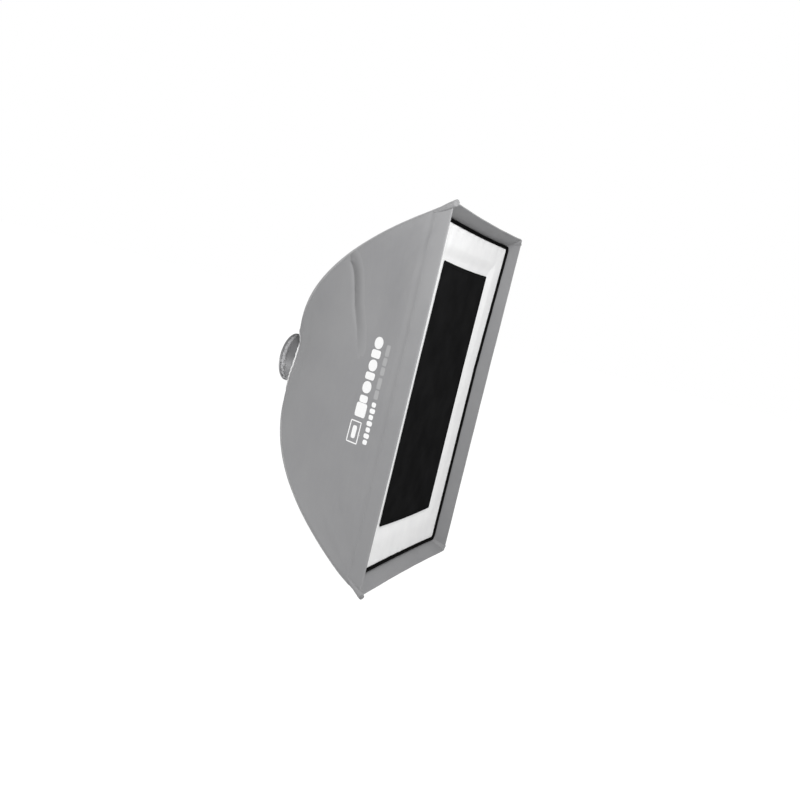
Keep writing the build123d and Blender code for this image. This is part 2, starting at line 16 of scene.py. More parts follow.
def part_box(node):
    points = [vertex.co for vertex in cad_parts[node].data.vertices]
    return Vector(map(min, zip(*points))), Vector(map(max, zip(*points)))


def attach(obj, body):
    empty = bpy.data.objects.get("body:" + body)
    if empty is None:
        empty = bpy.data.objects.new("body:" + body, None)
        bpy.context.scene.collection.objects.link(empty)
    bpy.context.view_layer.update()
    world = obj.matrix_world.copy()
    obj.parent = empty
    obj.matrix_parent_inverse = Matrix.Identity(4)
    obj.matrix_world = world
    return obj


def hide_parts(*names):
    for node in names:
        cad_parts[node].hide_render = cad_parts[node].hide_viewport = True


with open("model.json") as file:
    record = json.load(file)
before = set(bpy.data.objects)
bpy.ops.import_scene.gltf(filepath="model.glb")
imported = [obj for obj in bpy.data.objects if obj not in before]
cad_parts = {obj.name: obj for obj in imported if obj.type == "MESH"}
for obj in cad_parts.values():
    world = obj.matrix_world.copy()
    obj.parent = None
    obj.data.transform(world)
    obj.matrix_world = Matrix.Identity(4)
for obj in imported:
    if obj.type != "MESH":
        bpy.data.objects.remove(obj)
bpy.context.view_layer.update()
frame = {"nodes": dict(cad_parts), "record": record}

MM = 0.001

# Driving dimensions of the shell, in millimetres
half_width = 300
half_height = 450
apex_depth = 426  # from the rim to where the four seams would meet
curve_power = 2.33  # how the seams bend
hole_radius = 80  # hole round the speedring
cloth = 1.5
lip_inset = (20.5, 25)  # at the sides, at top and bottom
lip_depth = 41
sheet_thickness = 0.8  # diffuser, mask and baffle
tape_width = 20  # hook-and-loop tape
rim_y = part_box("shell_panel_left")[0].y / MM
border_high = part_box("diffuser_border")[1]
mask_low, mask_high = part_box("center_mask")
baffle_low, baffle_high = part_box("baffle_binding")
corner_reach = hypot(half_width, half_height)
corners = [(1, 1), (-1, 1), (-1, -1), (1, -1)]
sides = {"right": (1, 0), "left": (-1, 0), "top": (0, 1), "bottom": (0, -1)}


# ---------------------------------------------------------------- small numeric helpers
def smooth(low, high, value):
    """0 below low, 1 above high and an even ramp between; low may be the larger."""
    t = np.clip((value - low) / (high - low), 0, 1)
    return t * t * (3 - 2 * t)


def hump(value, centre, width):
    return np.exp(-(((value - centre) / width) ** 2))


def soft_noise(points, size, seed=0.0):
    """Smooth noise, about -1 to 1, at points in millimetres, with features of the given size."""
    flat = points.reshape(-1, 3) / size + seed
    values = [noise.noise(Vector(p)) for p in flat]
    return np.array(values).reshape(points.shape[:-1]) * 1.6


def unit(vectors):
    return vectors / np.maximum(np.linalg.norm(vectors, axis=-1, keepdims=True), 1e-9)


def grid_normals(points):
    """Unit normals of a grid of points, from its two directions."""
    return unit(np.cross(np.gradient(points, axis=0), np.gradient(points, axis=1)))


def towards(normals, directions):
    """The same normals, turned so that they point along the directions."""
    return normals * np.sign(np.sum(normals * directions, axis=-1, keepdims=True) + 1e-12)


def closed(row):
    """A row of points with its first point again at its end."""
    return np.concatenate([row, row[:1]])


def off_line(points, start, end):
    """How far along a line each point is, 0 to 1, and the vector and the distance from the line to it."""
    line = end - start
    along = np.clip(((points - start) @ line) / (line @ line), 0, 1)
    away = points - (start + along[..., None] * line)
    return along, away, np.linalg.norm(away, axis=-1)


def half_along(side):
    """Half the length of a side of the front."""
    return half_height if sides[side][0] else half_width


def on_side(side, across, a, b):
    """x and z on one side of an a by b rectangle; across runs -1 to 1 between its corners."""
    sx, sz = sides[side]
    return (sx * a + 0 * across if sx else across * a), (sz * b + 0 * across if sz else across * b)


# ---------------------------------------------------------------- mesh helpers
def quads(index):
    """Quad faces of a grid of vertex numbers."""
    return np.stack([index[:-1, :-1], index[1:, :-1], index[1:, 1:], index[:-1, 1:]], -1).reshape(-1, 4)


class Batch:
    """Surfaces in millimetres, gathered until they become one piece."""

    def __init__(self):
        self.vertices, self.faces, self.marks, self.uv, self.values = [], [], [], [], []
        self.count = 0

    def add(self, vertices, faces, marks, uv, value=0.0):
        """Any vertices and faces. value is a number per vertex that a material reads, such as a distance."""
        self.faces += [[self.count + int(k) for k in face] for face in faces]
        self.vertices.append(vertices.reshape(-1, 3))
        self.marks += list(marks)
        self.uv.append(uv.reshape(-1, 2))
        self.values.append(np.broadcast_to(value, self.vertices[-1].shape[:1]).ravel())
        self.count += len(self.vertices[-1])
        return self

    def sheet(self, front, back, uv, mark=0, back_mark=None, value=0.0):
        """Closed sheet between two grids of points."""
        rows, columns = front.shape[:2]
        index = np.arange(rows * columns).reshape(rows, columns)
        under = rows * columns
        faces = [quads(index), quads(index + under)[:, ::-1]]
        for edge in (index[0], index[-1], index[:, 0], index[:, -1]):
            faces.append(np.stack([edge[:-1], edge[1:], edge[1:] + under, edge[:-1] + under], -1))
        marks = np.full(sum(map(len, faces)), mark)
        marks[len(faces[0]) : 2 * len(faces[0])] = mark if back_mark is None else back_mark
        value = np.broadcast_to(value, front.shape[:2]).ravel()
        both = np.concatenate([front.reshape(-1, 3), back.reshape(-1, 3)])
        twice = np.concatenate([uv.reshape(-1, 2)] * 2)
        return self.add(both, np.concatenate(faces), marks, twice, np.concatenate([value] * 2))

    def tube(self, rings, mark=0, loop=False):
        """Skin over closed cross-sections, (sections, points round each, 3), capped unless it is a loop."""
        sections, around = rings.shape[:2]
        index = np.arange(sections * around).reshape(sections, around)
        skin = np.concatenate([index, index[:, :1]], axis=1)
        if loop:
            skin = np.concatenate([skin, skin[:1]])
        faces = [list(face) for face in quads(skin)]
        if not loop:
            faces += [list(index[0][::-1]), list(index[-1])]
        along = np.concatenate([[0], np.cumsum(np.linalg.norm(np.diff(rings[:, 0], axis=0), axis=1))])
        girth = np.concatenate([[0], np.cumsum(np.linalg.norm(np.diff(rings[0], axis=0), axis=1))])
        uv = np.stack(np.meshgrid(along, girth, indexing="ij"), -1)
        return self.add(rings, faces, [mark] * len(faces), uv)

    def piece(self, name, materials, body, slot=None, replaced=(), crease=0.9):
        """One smooth object in metres that rides on a body; creases sharper than the angle are kept."""
        mesh = bpy.data.meshes.new(name)
        mesh.from_pydata((np.concatenate(self.vertices) * MM).tolist(), [], self.faces)
        for material in materials:
            mesh.materials.append(material)
        mesh.polygons.foreach_set("material_index", np.array(self.marks, dtype=np.int32))
        corner_vertex = np.zeros(len(mesh.loops), dtype=np.int32)
        mesh.loops.foreach_get("vertex_index", corner_vertex)
        flat = (np.concatenate(self.uv)[corner_vertex] * MM).astype(np.float32)
        mesh.uv_layers.new(name="cloth").data.foreach_set("uv", flat.ravel())
        # the rim attribute: distance from the rim; on the left panel it is below zero where shade is painted
        # into the crease
        values = (np.concatenate(self.values) * MM).astype(np.float32)
        mesh.attributes.new("rim", "FLOAT", "POINT").data.foreach_set("value", values)
        edit = bmesh.new()
        edit.from_mesh(mesh)
        bmesh.ops.recalc_face_normals(edit, faces=edit.faces)
        for face in edit.faces:
            face.smooth = True
        for edge in edit.edges:
            edge.smooth = not (edge.is_manifold and edge.calc_face_angle(0) > crease)
        edit.to_mesh(mesh)
        edit.free()
        made = bpy.data.objects.new(name, mesh)
        bpy.context.scene.collection.objects.link(made)
        if body:
            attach(made, body)
        if replaced:
            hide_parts(*replaced)
        return made


def path_frames(path, side_hint, loop=False):
    """Side and normal at each point of a path; the side stays close to the hint."""
    if loop:
        tangent = unit(np.roll(path, -1, axis=0) - np.roll(path, 1, axis=0))
    else:
        tangent = unit(np.gradient(path, axis=0))
    side = unit(side_hint - tangent * np.sum(side_hint * tangent, axis=-1, keepdims=True))
    return tangent, side, np.cross(tangent, side)


def swept(path, side_hint, profile, scale=1.0, loop=False):
    """Rings of a profile of (across, out) points along a path; scale is one number or one per point."""
    _, side, normal = path_frames(path, side_hint, loop)
    size = np.broadcast_to(scale, len(path))[:, None, None]
    profile = np.asarray(profile, float)
    across, out = profile[None, :, :1] * size, profile[None, :, 1:] * size
    return path[:, None] + side[:, None] * across + normal[:, None] * out


def oval(half_across, half_out, count=14, power=1.0):
    """Oval profile; a power below 1 squares it off."""
    turn = np.linspace(0, 2 * pi, count, endpoint=False)
    c, s = np.cos(turn), np.sin(turn)
    return np.stack([half_across * np.sign(c) * abs(c) ** power, half_out * np.sign(s) * abs(s) ** power], -1)


def disc(centre, axis_x, axis_y, axis_out, outline):
    """Rings of a turned shape from (radius, height) points, for a tube."""
    turn = np.linspace(0, 2 * pi, 24, endpoint=False)
    circle = np.cos(turn)[:, None] * axis_x + np.sin(turn)[:, None] * axis_y
    return np.array([centre + radius * circle + height * np.asarray(axis_out) for radius, height in outline])


def resample(path, step, *others):
    """Evenly spaced points along a polyline, and other rows of vectors at the same places."""
    gaps = np.linalg.norm(np.diff(path, axis=0), axis=1)
    along = np.concatenate([[0], np.cumsum(gaps)])
    places = np.arange(step / 2, along[-1], step)
    rows = [path, *others]
    return [np.stack([np.interp(places, along, row[:, k]) for k in range(3)], -1) for row in rows]


def stitch_template(length=2.7, thread=0.36):
    """Vertices (along, across, out) and faces of one stitch, dipping at both ends."""
    sections = [(-0.5, 0.2, -0.9), (-0.3, 1, 0.1), (0, 1, 0.5), (0.3, 1, 0.1), (0.5, 0.2, -0.9)]
    turn = np.linspace(0, 2 * pi, 6)[:-1]
    vertices = []
    for along, size, lift in sections:
        for angle in turn:
            side = thread * (size * cos(angle) + along * 1.2)
            vertices.append((along * length, side, thread * (size * sin(angle) + lift)))
    index = np.arange(len(vertices)).reshape(len(sections), len(turn))
    faces = [list(face) for face in quads(np.concatenate([index, index[:, :1]], axis=1))]
    return np.array(vertices), faces + [list(index[0][::-1]), list(index[-1])]


def sew(batch, path, normals, pitch=3.6):
    """Adds a row of single stitches along a path on a surface with these normals."""
    template, faces = stitch_template()
    points, out = resample(path, pitch, normals)
    tangent = unit(np.gradient(points, axis=0))
    out = unit(out - tangent * np.sum(out * tangent, axis=-1, keepdims=True))
    side = np.cross(tangent, out)
    for point, t, s, n in zip(points, tangent, side, out):
        vertices = point + template[:, :1] * t + template[:, 1:2] * s + template[:, 2:] * n
        batch.add(vertices, faces, [0] * len(faces), template[:, :2])


# ---------------------------------------------------------------- material helpers
class Finish:
    """A node material in the making, with short calls for what the finishes share."""

    def __init__(self, name, color, roughness, metallic=0.0, sheen=0.0, specular=0.5):
        self.material = bpy.data.materials.new(name)
        self.material.use_nodes = True
        self.tree = self.material.node_tree
        self.shader = self.tree.nodes["Principled BSDF"]
        self.set("Base Color", (*color, 1))
        self.set("Roughness", roughness)
        self.set("Metallic", metallic)
        self.set("Sheen Weight", sheen)
        self.set("Specular IOR Level", specular)
        self.last_normal = None

    def set(self, socket, value):
        self.shader.inputs[socket].default_value = value

    def node(self, kind, inputs=(), **settings):
        made = self.tree.nodes.new("ShaderNode" + kind)
        for key, value in settings.items():
            setattr(made, key, value)
        for key, value in dict(inputs).items():
            if isinstance(value, bpy.types.NodeSocket):
                self.tree.links.new(value, made.inputs[key])
            else:
                made.inputs[key].default_value = value
        return made

    def math(self, operation, a, b=0.0):
        return self.node("Math", {0: a, 1: b}, operation=operation).outputs[0]

    def cloth_place(self):
        """The sheet's own flat coordinates, in metres."""
        return self.node("UVMap", uv_map="cloth").outputs[0]

    def place(self):
        return self.node("TexCoord").outputs["Object"]

    def noise(self, vector, size, detail=3.0, stretch=(1, 1, 1), roughness=0.55):
        scaled = self.node("Mapping", {"Vector": vector, "Scale": [k / (size * MM) for k in stretch]})
        inputs = {"Vector": scaled.outputs[0], "Scale": 1.0, "Detail": detail, "Roughness": roughness}
        return self.node("TexNoise", inputs).outputs["Fac"]

    def weave(self, vector, pitch):
        """Height of a plain weave, 0 to 1, with threads this far apart."""
        scaled = self.node("Mapping", {"Vector": vector, "Scale": [1 / (pitch * MM)] * 3})
        split = self.node("SeparateXYZ", {0: scaled.outputs[0]})
        ridges = []
        for axis in (0, 1):
            wave = self.math("SINE", self.math("MULTIPLY", split.outputs[axis], pi))
            ridges.append(self.math("ABSOLUTE", wave))
        cells = self.node("CombineXYZ", {0: split.outputs[0], 1: split.outputs[1], 2: 0.5}).outputs[0]
        over = self.node("TexChecker", {"Vector": cells, "Scale": 1.0}).outputs["Fac"]
        mixed = self.node("Mix", {"Factor": over, 2: ridges[0], 3: ridges[1]}, data_type="FLOAT")
        return mixed.outputs[0]

    def ribs(self, vector, pitch, axis):
        """Height of rounded ribs, 0 to 1, this far apart along one axis of the vector."""
        split = self.node("SeparateXYZ", {0: vector})
        wave = self.math("SINE", self.math("MULTIPLY", split.outputs[axis], pi / (pitch * MM)))
        return self.math("ABSOLUTE", wave)

    def ramp(self, value, low, high, color_low, color_high):
        """Colour from one to the other as the value goes from low to high."""
        part = self.node("MapRange", {"Value": value, "From Min": low, "From Max": high}).outputs[0]
        mixed = self.node(
            "Mix", {"Factor": part, 6: (*color_low, 1), 7: (*color_high, 1)}, data_type="RGBA"
        )
        return mixed.outputs[2]

    def blend(self, factor, first, second):
        def as_input(color):
            return color if isinstance(color, bpy.types.NodeSocket) else (*color, 1)

        inputs = {"Factor": factor, 6: as_input(first), 7: as_input(second)}
        return self.node("Mix", inputs, data_type="RGBA").outputs[2]

    def bump(self, height, depth, strength=1.0):
        """Adds a bump of this depth, in millimetres, on top of earlier ones."""
        inputs = {"Height": height, "Distance": depth * MM, "Strength": strength}
        if self.last_normal:
            inputs["Normal"] = self.last_normal
        self.last_normal = self.node("Bump", inputs).outputs[0]

    def rough(self, value, low, high):
        part = self.node("MapRange", {"Value": value, "From Min": 0.3, "From Max": 0.7,
                                      "To Min": low, "To Max": high}).outputs[0]
        self.tree.links.new(part, self.shader.inputs["Roughness"])

    def done(self, color=None):
        if color is not None:
            self.tree.links.new(color, self.shader.inputs["Base Color"])
        if self.last_normal:
            self.tree.links.new(self.last_normal, self.shader.inputs["Normal"])
        return self.material


def shade(color, factor):
    return tuple(k * factor for k in color)


def edge_wear(finish, radius):
    """0 on flat faces and up to 1 on outside edges, from how far a rounded normal leans."""
    rounded = finish.node("Bevel", {"Radius": radius * MM}, samples=6).outputs[0]
    true = finish.node("NewGeometry").outputs["Normal"]
    same = finish.node("VectorMath", {0: rounded, 1: true}, operation="DOT_PRODUCT").outputs["Value"]
    return finish.math("SUBTRACT", 1.0, same)


# ---------------------------------------------------------------- materials
shell_grey = (0.285, 0.285, 0.29)
shell_dark = (0.255, 0.255, 0.262)


def shell_cloth_finish(name="shell_cloth", light=shell_grey, dark=shell_dark):
    """Tight matt polyester: plain weave, slubs, faint cloudy wear, rubbed hems and painted shade along a
    crease.

    Its rim attribute is the distance from the rim, and goes below zero where shade is painted into the
    crease.
    """
    finish = Finish(name, light, 0.8, sheen=0.12, specular=0.25)
    finish.set("Sheen Roughness", 0.45)
    where = finish.cloth_place()
    clouds = finish.noise(finish.place(), 130, 4)
    slubs = finish.noise(where, 9, 3, (0.15, 1, 1))
    mottle = finish.ramp(clouds, 0.35, 0.68, dark, light)
    color = finish.blend(finish.math("MULTIPLY", slubs, 0.35), mottle, shade(light, 1.08))
    rim = finish.node("Attribute", attribute_name="rim").outputs["Fac"]
    edge = finish.math("ABSOLUTE", finish.math("SUBTRACT", rim, 0.0005))
    rubbed = finish.node("MapRange", {"Value": edge, "From Min": 0.0, "From Max": 0.0045,
                                      "To Min": 0.35, "To Max": 0.0}).outputs[0]
    color = finish.blend(rubbed, color, shade(light, 1.25))
    # painted shade: the cloth is darkened towards 0.6 of its grey along the left panel's crease, where the
    # rim attribute is below zero
    painted_shade = finish.node("MapRange", {"Value": rim, "From Min": -0.001, "From Max": 0.0,
                                      "To Min": 1.0, "To Max": 0.0}).outputs[0]
    color = finish.blend(painted_shade, color, shade(light, 0.6))
    finish.bump(finish.noise(finish.place(), 22, 5), 0.5, 0.35)
    finish.bump(slubs, 0.08, 0.5)
    finish.bump(finish.weave(where, 0.62), 0.12, 0.55)
    finish.rough(clouds, 0.72, 0.86)
    return finish.done(color)


def lining_finish():
    """Silver coating on the inside of the shell, with a fine crushed texture."""
    finish = Finish("silver_lining", (0.8, 0.81, 0.82), 0.35, metallic=0.75, specular=0.5)
    where = finish.cloth_place()
    crushed = finish.noise(where, 5, 6, roughness=0.7)
    finish.bump(crushed, 0.35, 0.6)
    finish.bump(finish.weave(where, 0.62), 0.08, 0.5)
    finish.rough(finish.noise(where, 40, 3), 0.28, 0.48)
    return finish.done(finish.ramp(crushed, 0.3, 0.7, (0.7, 0.71, 0.72), (0.86, 0.87, 0.88)))


def diffuser_finish():
    """White diffusion cloth: very fine weave with soft creases, a little light passing through."""
    finish = Finish("diffuser_cloth", (0.9, 0.9, 0.9), 0.75, sheen=0.1, specular=0.2)
    finish.set("Subsurface Weight", 0.15)
    finish.set("Subsurface Radius", (0.01, 0.01, 0.01))
    finish.set("Subsurface Scale", 0.4)
    where = finish.cloth_place()
    creases = finish.noise(where, 45, 4, (1, 0.5, 1))
    finish.bump(creases, 1.0, 0.25)
    finish.bump(finish.weave(where, 0.45), 0.06, 0.5)
    return finish.done(finish.ramp(creases, 0.3, 0.7, (0.865, 0.865, 0.87), (0.92, 0.92, 0.918)))


def binding_finish(name="black_binding", color=(0.004, 0.004, 0.004), paler=(0.01, 0.01, 0.01)):
    """Ribbed tape folded over an edge, fluffed where it is handled."""
    finish = Finish(name, color, 0.9, specular=0.0)
    where = finish.cloth_place()
    ribs = finish.ribs(where, 0.9, 0)
    fluff = finish.noise(where, 1.2, 4)
    finish.bump(ribs, 0.2, 0.7)
    finish.bump(fluff, 0.1, 0.5)
    return finish.done(finish.ramp(finish.math("MULTIPLY", ribs, fluff), 0.15, 0.6, color, paler))


def mask_finish():
    """Dense black cloth that shows where it was folded for the bag."""
    finish = Finish("mask_cloth", (0.008, 0.008, 0.008), 0.9, sheen=0.004, specular=0.0)
    where = finish.cloth_place()
    clouds = finish.noise(where, 80, 4)
    finish.bump(finish.noise(where, 30, 5), 0.6, 0.4)
    finish.bump(finish.weave(where, 0.5), 0.1, 0.5)
    finish.rough(clouds, 0.75, 0.9)
    return finish.done(finish.ramp(clouds, 0.35, 0.65, (0.0075, 0.0075, 0.0077), (0.0115, 0.0115, 0.0118)))


def hook_loop_finish():
    """Hook-and-loop tape: a dense uneven pile with pressed patches."""
    finish = Finish("hook_and_loop", (0.02, 0.02, 0.021), 0.9, sheen=0.05, specular=0.08)
    pile = finish.noise(finish.place(), 0.9, 4, roughness=0.75)
    patches = finish.noise(finish.place(), 16, 3)
    finish.bump(pile, 0.6, 0.9)
    finish.bump(patches, 0.4, 0.5)
    return finish.done(finish.ramp(pile, 0.3, 0.75, (0.008, 0.008, 0.008), (0.05, 0.05, 0.052)))


def piping_finish(name="piping", light=(0.39, 0.39, 0.395), dark=(0.35, 0.35, 0.355)):
    """Light woven tape or cord with fine ribs across it."""
    finish = Finish(name, light, 0.7, sheen=0.1, specular=0.3)
    where = finish.cloth_place()
    ribs = finish.ribs(where, 0.8, 0)
    dirt = finish.noise(finish.place(), 25, 4)
    finish.bump(ribs, 0.12, 0.6)
    finish.bump(finish.noise(where, 2.5, 3), 0.1, 0.5)
    return finish.done(finish.ramp(dirt, 0.35, 0.7, dark, light))


def webbing_finish():
    """Doubled webbing with a herringbone of slanted ribs."""
    finish = Finish("corner_webbing", shell_grey, 0.8, sheen=0.12, specular=0.25)
    where = finish.cloth_place()
    split = finish.node("SeparateXYZ", {0: where})
    zigzag = finish.math("PINGPONG", split.outputs[1], 3 * MM)
    slanted = finish.node("CombineXYZ", {0: finish.math("ADD", split.outputs[0], zigzag)}).outputs[0]
    ribs = finish.ribs(slanted, 1.1, 0)
    worn = finish.noise(finish.place(), 12, 4)
    finish.bump(ribs, 0.25, 0.7)
    finish.bump(finish.noise(where, 1.5, 3), 0.1, 0.5)
    color = finish.ramp(ribs, 0.1, 0.9, shade(shell_grey, 0.86), shade(shell_grey, 1.06))
    return finish.done(finish.blend(finish.math("MULTIPLY", worn, 0.3), color, shade(shell_grey, 1.2)))


def thread_finish(name, color, shine=0.3):
    """Twisted sewing thread."""
    finish = Finish(name, color, 0.6, sheen=0.5 * shine, specular=shine)
    twist = finish.noise(finish.place(), 0.5, 2)
    finish.bump(twist, 0.1, 0.6)
    return finish.done(finish.ramp(twist, 0.3, 0.7, shade(color, 0.8), shade(color, 1.15)))


def print_finish(name, color):
    """Screen-printed ink that lets the weave through."""
    finish = Finish(name, color, 0.55, specular=0.4)
    where = finish.cloth_place()
    wear = finish.noise(where, 3, 5, roughness=0.7)
    finish.bump(finish.weave(where, 0.62), 0.1, 0.5)
    return finish.done(finish.ramp(wear, 0.25, 0.45, shade(color, 0.93), color))


def steel_finish(name, color, roughness, size):
    """Drawn or plated steel with fine lengthwise scratches and handled patches."""
    finish = Finish(name, color, roughness, metallic=1.0)
    scratches = finish.noise(finish.place(), size, 5, (1, 8, 1), 0.7)
    patches = finish.noise(finish.place(), 18, 3)
    finish.bump(scratches, 0.05, 0.4)
    finish.rough(patches, roughness - 0.08, roughness + 0.14)
    return finish.done(finish.ramp(scratches, 0.3, 0.7, shade(color, 0.82), color))


def coated_metal_finish(name, color, paler, roughness):
    """Coated metal with a faint grain, and bare metal showing on handled edges."""
    finish = Finish(name, color, roughness, metallic=0.35, specular=0.5)
    grain = finish.noise(finish.place(), 0.7, 3)
    clouds = finish.noise(finish.place(), 20, 4)
    wear = finish.math("MULTIPLY", edge_wear(finish, 0.7), finish.math("ADD", clouds, 0.4))
    worn = finish.node("MapRange", {"Value": wear, "From Min": 0.03, "From Max": 0.22}).outputs[0]
    finish.bump(grain, 0.06, 0.5)
    finish.rough(clouds, roughness - 0.06, roughness + 0.1)
    base = finish.ramp(clouds, 0.3, 0.7, shade(color, 0.88), color)
    return finish.done(finish.blend(finish.math("MULTIPLY", worn, 0.75), base, paler))


def plastic_finish(name, color, paler, roughness):
    """Moulded plastic with a fine spark-eroded grain, polished by fingers on its edges."""
    finish = Finish(name, color, roughness, specular=0.5)
    grain = finish.noise(finish.place(), 0.45, 2)
    clouds = finish.noise(finish.place(), 9, 4)
    worn = finish.node("MapRange", {"Value": edge_wear(finish, 0.5), "From Min": 0.02, "From Max": 0.3})
    finish.bump(grain, 0.05, 0.6)
    finish.rough(clouds, roughness - 0.08, roughness + 0.08)
    base = finish.ramp(clouds, 0.3, 0.7, shade(color, 0.85), color)
    return finish.done(finish.blend(finish.math("MULTIPLY", worn.outputs[0], 0.6), base, paler))


def rubber_finish():
    """Matt rubber with a dusty bloom."""
    finish = Finish("rubber", (0.02, 0.02, 0.02), 0.8, specular=0.35)
    bloom = finish.noise(finish.place(), 8, 5)
    finish.bump(finish.noise(finish.place(), 0.6, 3), 0.08, 0.6)
    finish.rough(bloom, 0.7, 0.92)
    return finish.done(finish.ramp(bloom, 0.35, 0.75, (0.014, 0.014, 0.014), (0.045, 0.044, 0.043)))


shell_cloth = shell_cloth_finish()
lip_cloth = shell_cloth_finish("lip_cloth", shade(shell_grey, 0.95), shade(shell_dark, 0.95))
sleeve_cloth = shell_cloth_finish("sleeve_cloth", (0.50, 0.50, 0.51), (0.44, 0.44, 0.45))
lining = lining_finish()
diffuser_cloth = diffuser_finish()
black_binding = binding_finish()
mask_cloth = mask_finish()
hook_and_loop = hook_loop_finish()
piping = piping_finish()
elastic = piping_finish("elastic", (0.88, 0.88, 0.88), (0.78, 0.78, 0.78))
webbing = webbing_finish()
grey_thread = thread_finish("grey_thread", (0.34, 0.34, 0.345))
black_thread = thread_finish("black_thread", (0.005, 0.005, 0.005), 0.0)
white_thread = thread_finish("white_thread", (0.75, 0.75, 0.75))
white_print = print_finish("white_print", (0.88, 0.88, 0.88))
grey_print = print_finish("grey_print", (0.37, 0.37, 0.375))
spring_steel = steel_finish("spring_steel", (0.5, 0.5, 0.51), 0.34, 1.5)
plated_steel = steel_finish("plated_steel", (0.72, 0.72, 0.73), 0.3, 0.9)
ring_metal = coated_metal_finish("cast_aluminium", (0.19, 0.19, 0.195), (0.5, 0.5, 0.51), 0.42)
collar_metal = coated_metal_finish("collar_grey", (0.25, 0.25, 0.255), (0.6, 0.6, 0.61), 0.36)
grip_plastic = plastic_finish("grip_plastic", (0.42, 0.42, 0.43), (0.6, 0.6, 0.61), 0.5)
knob_plastic = plastic_finish("knob_plastic", (0.03, 0.03, 0.031), (0.09, 0.09, 0.09), 0.48)
rubber = rubber_finish()


# ---------------------------------------------------------------- the shell's surface
seeds = {"right": 3.1, "left": 11.7, "top": 23.9, "bottom": 37.3}  # of each side's noise
rim_radius = 8
run_per_share = 1040  # millimetres of cloth per unit of share, close to the rim
panel_bow = 5.0  # how far the tight cloth of a panel is drawn in
slopes = [apex_depth * curve_power / half for half in (half_width, half_height)]
rim_bow = tuple(panel_bow * slope / hypot(slope, 1) for slope in slopes)
hem_rows = (0, 1.5, 3, 5.5, 9, 14, 20, 26, 32, 36, 39, 41, 43, 44.5, 46, 47.5, 50, 54, 59, 65)
corner_pulls = ((0.80, 0.80, 9, 1.3), (0.84, 0.62, 11, -1.1), (0.9, 0.5, 8, 0.8))  # to, width, height
crease_places = ((0.673, 0.93), (0.687, 0.835), (0.701, 0.696), (0.715, 0.57), (0.753, 0.39), (0.8, 0.16))
crease_depths = (4, 5, 5, 4, 2.5, 0)
# how strongly shade is painted along the crease, at each of its places
crease_painted_shade = (0.65, 0.75, 0.7, 0.6, 0.4, 0)
crease_bumps = (((0.683, 0.925), 3.4, 6), ((0.708, 0.70), 1.5, 7), ((0.715, 0.5), 0.9, 9))  # height, size


def y_at_share(share):
    """Y of the shell's corner seams; share is 1 at the rim and 0 on the axis."""
    return rim_y + apex_depth * (1 - share**curve_power)


def share_at_depth(depth):
    return (1 - depth / apex_depth) ** (1 / curve_power)


def seam_radius(share):
    """Radius of the rounded fold along a corner seam; wider at the rim, where the cloth turns in."""
    return 5 + (rim_radius - 5) * smooth(0.9, 1, share)


def sag(share):
    """How far the hanging cloth drops between the rim and the speedring."""
    return 3.5 * smooth(0.25, 0.6, share) * smooth(1.0, 0.92, share)


def soften_corner(x, z, a, b, radius):
    """Turns the square corner of a cross-section a by b into a round one."""
    over_x = np.maximum(np.abs(x) - (a - radius), 0)
    over_z = np.maximum(np.abs(z) - (b - radius), 0)
    reach = np.hypot(over_x, over_z)
    factor = np.where(reach > 1e-6, np.maximum(over_x, over_z) / np.maximum(reach, 1e-6), 1)
    round_x = np.sign(x) * (np.minimum(np.abs(x), a - radius) + over_x * factor)
    round_z = np.sign(z) * (np.minimum(np.abs(z), b - radius) + over_z * factor)
    return round_x, round_z


def bowed(x, z, a, b, bow, power=1):
    """Draws the middle of each side of an a by b outline inwards."""
    x_part = bow[0] * (1 - np.minimum((z / b) ** 2, 1)) * (np.abs(x) / a) ** power
    z_part = bow[1] * (1 - np.minimum((x / a) ** 2, 1)) * (np.abs(z) / b) ** power
    return x - np.sign(x) * x_part, z - np.sign(z) * z_part


def across_steps(columns=130):
    """Places from one corner to the next, closer together towards the corners."""
    even = np.linspace(-1, 1, columns)
    return 0.55 * even + 0.45 * np.sin(pi / 2 * even)


def outline_side(side, across, a, b, radius, bow):
    """(x, z) along one side of a bowed rectangle with round corners."""
    x, z = soften_corner(*on_side(side, across, a, b), a, b, radius)
    return bowed(x, z, a, b, bow)


def around(path_of_side):
    """Joins the paths of the four sides into one loop."""
    right, top, left, bottom = (path_of_side(side) for side in ("right", "top", "left", "bottom"))
    return np.concatenate([part[:-1] for part in (right, top[::-1], left[::-1], bottom)])


def outline(a, b, radius, bow, y, columns=90):
    """Closed bowed rectangle with round corners, as points at one Y."""
    def one(side):
        x, z = outline_side(side, across_steps(columns), a, b, radius, bow)
        return np.stack([x, np.full(len(x), float(y)), z], -1)

    return around(one)


def away_from_axis(path):
    return unit(path * np.array([1, 0, 1]))


def panel_surface(share, across, side):
    """Shell surface before any wrinkle. across runs -1 to 1 from one corner seam to the other."""
    a, b = half_width * share, half_height * share
    x, z = soften_corner(*on_side(side, across, a, b), a, b, np.minimum(seam_radius(share), 0.9 * a))
    return np.stack([x, y_at_share(share) + 0 * x, z - sag(share)], -1)


def fold(points, start, end, width, height):
    """Height of a fold between two places on the surface."""
    along, _, distance = off_line(points, start, end)
    fade = np.sin(pi * np.clip(0.12 + 0.88 * along, 0, 1)) ** 0.6
    return height * fade * np.exp(-((distance / width) ** 2))


def crease(points, depths, front, back, power):
    """Depth of the left panel's crease: a long slope on its front side and a short one behind it. Given other
    depths, it gives how strongly shade is painted along the crease.
    """
    depth, nearest = 0.0, 1e9
    path = [panel_point("left", *place) for place in crease_places]
    for start, end, first, last in zip(path, path[1:], depths, depths[1:]):
        along, away, distance = off_line(points, start, end)
        fall = np.exp(-((distance / np.where(away[..., 1] < 0, front, back)) ** power))
        depth = np.where(distance < nearest, (first + (last - first) * along) * fall, depth)
        nearest = np.minimum(nearest, distance)
    return depth


def panel_point(side, share, across):
    return panel_surface(np.array([share]), np.array([across]), side)[0]


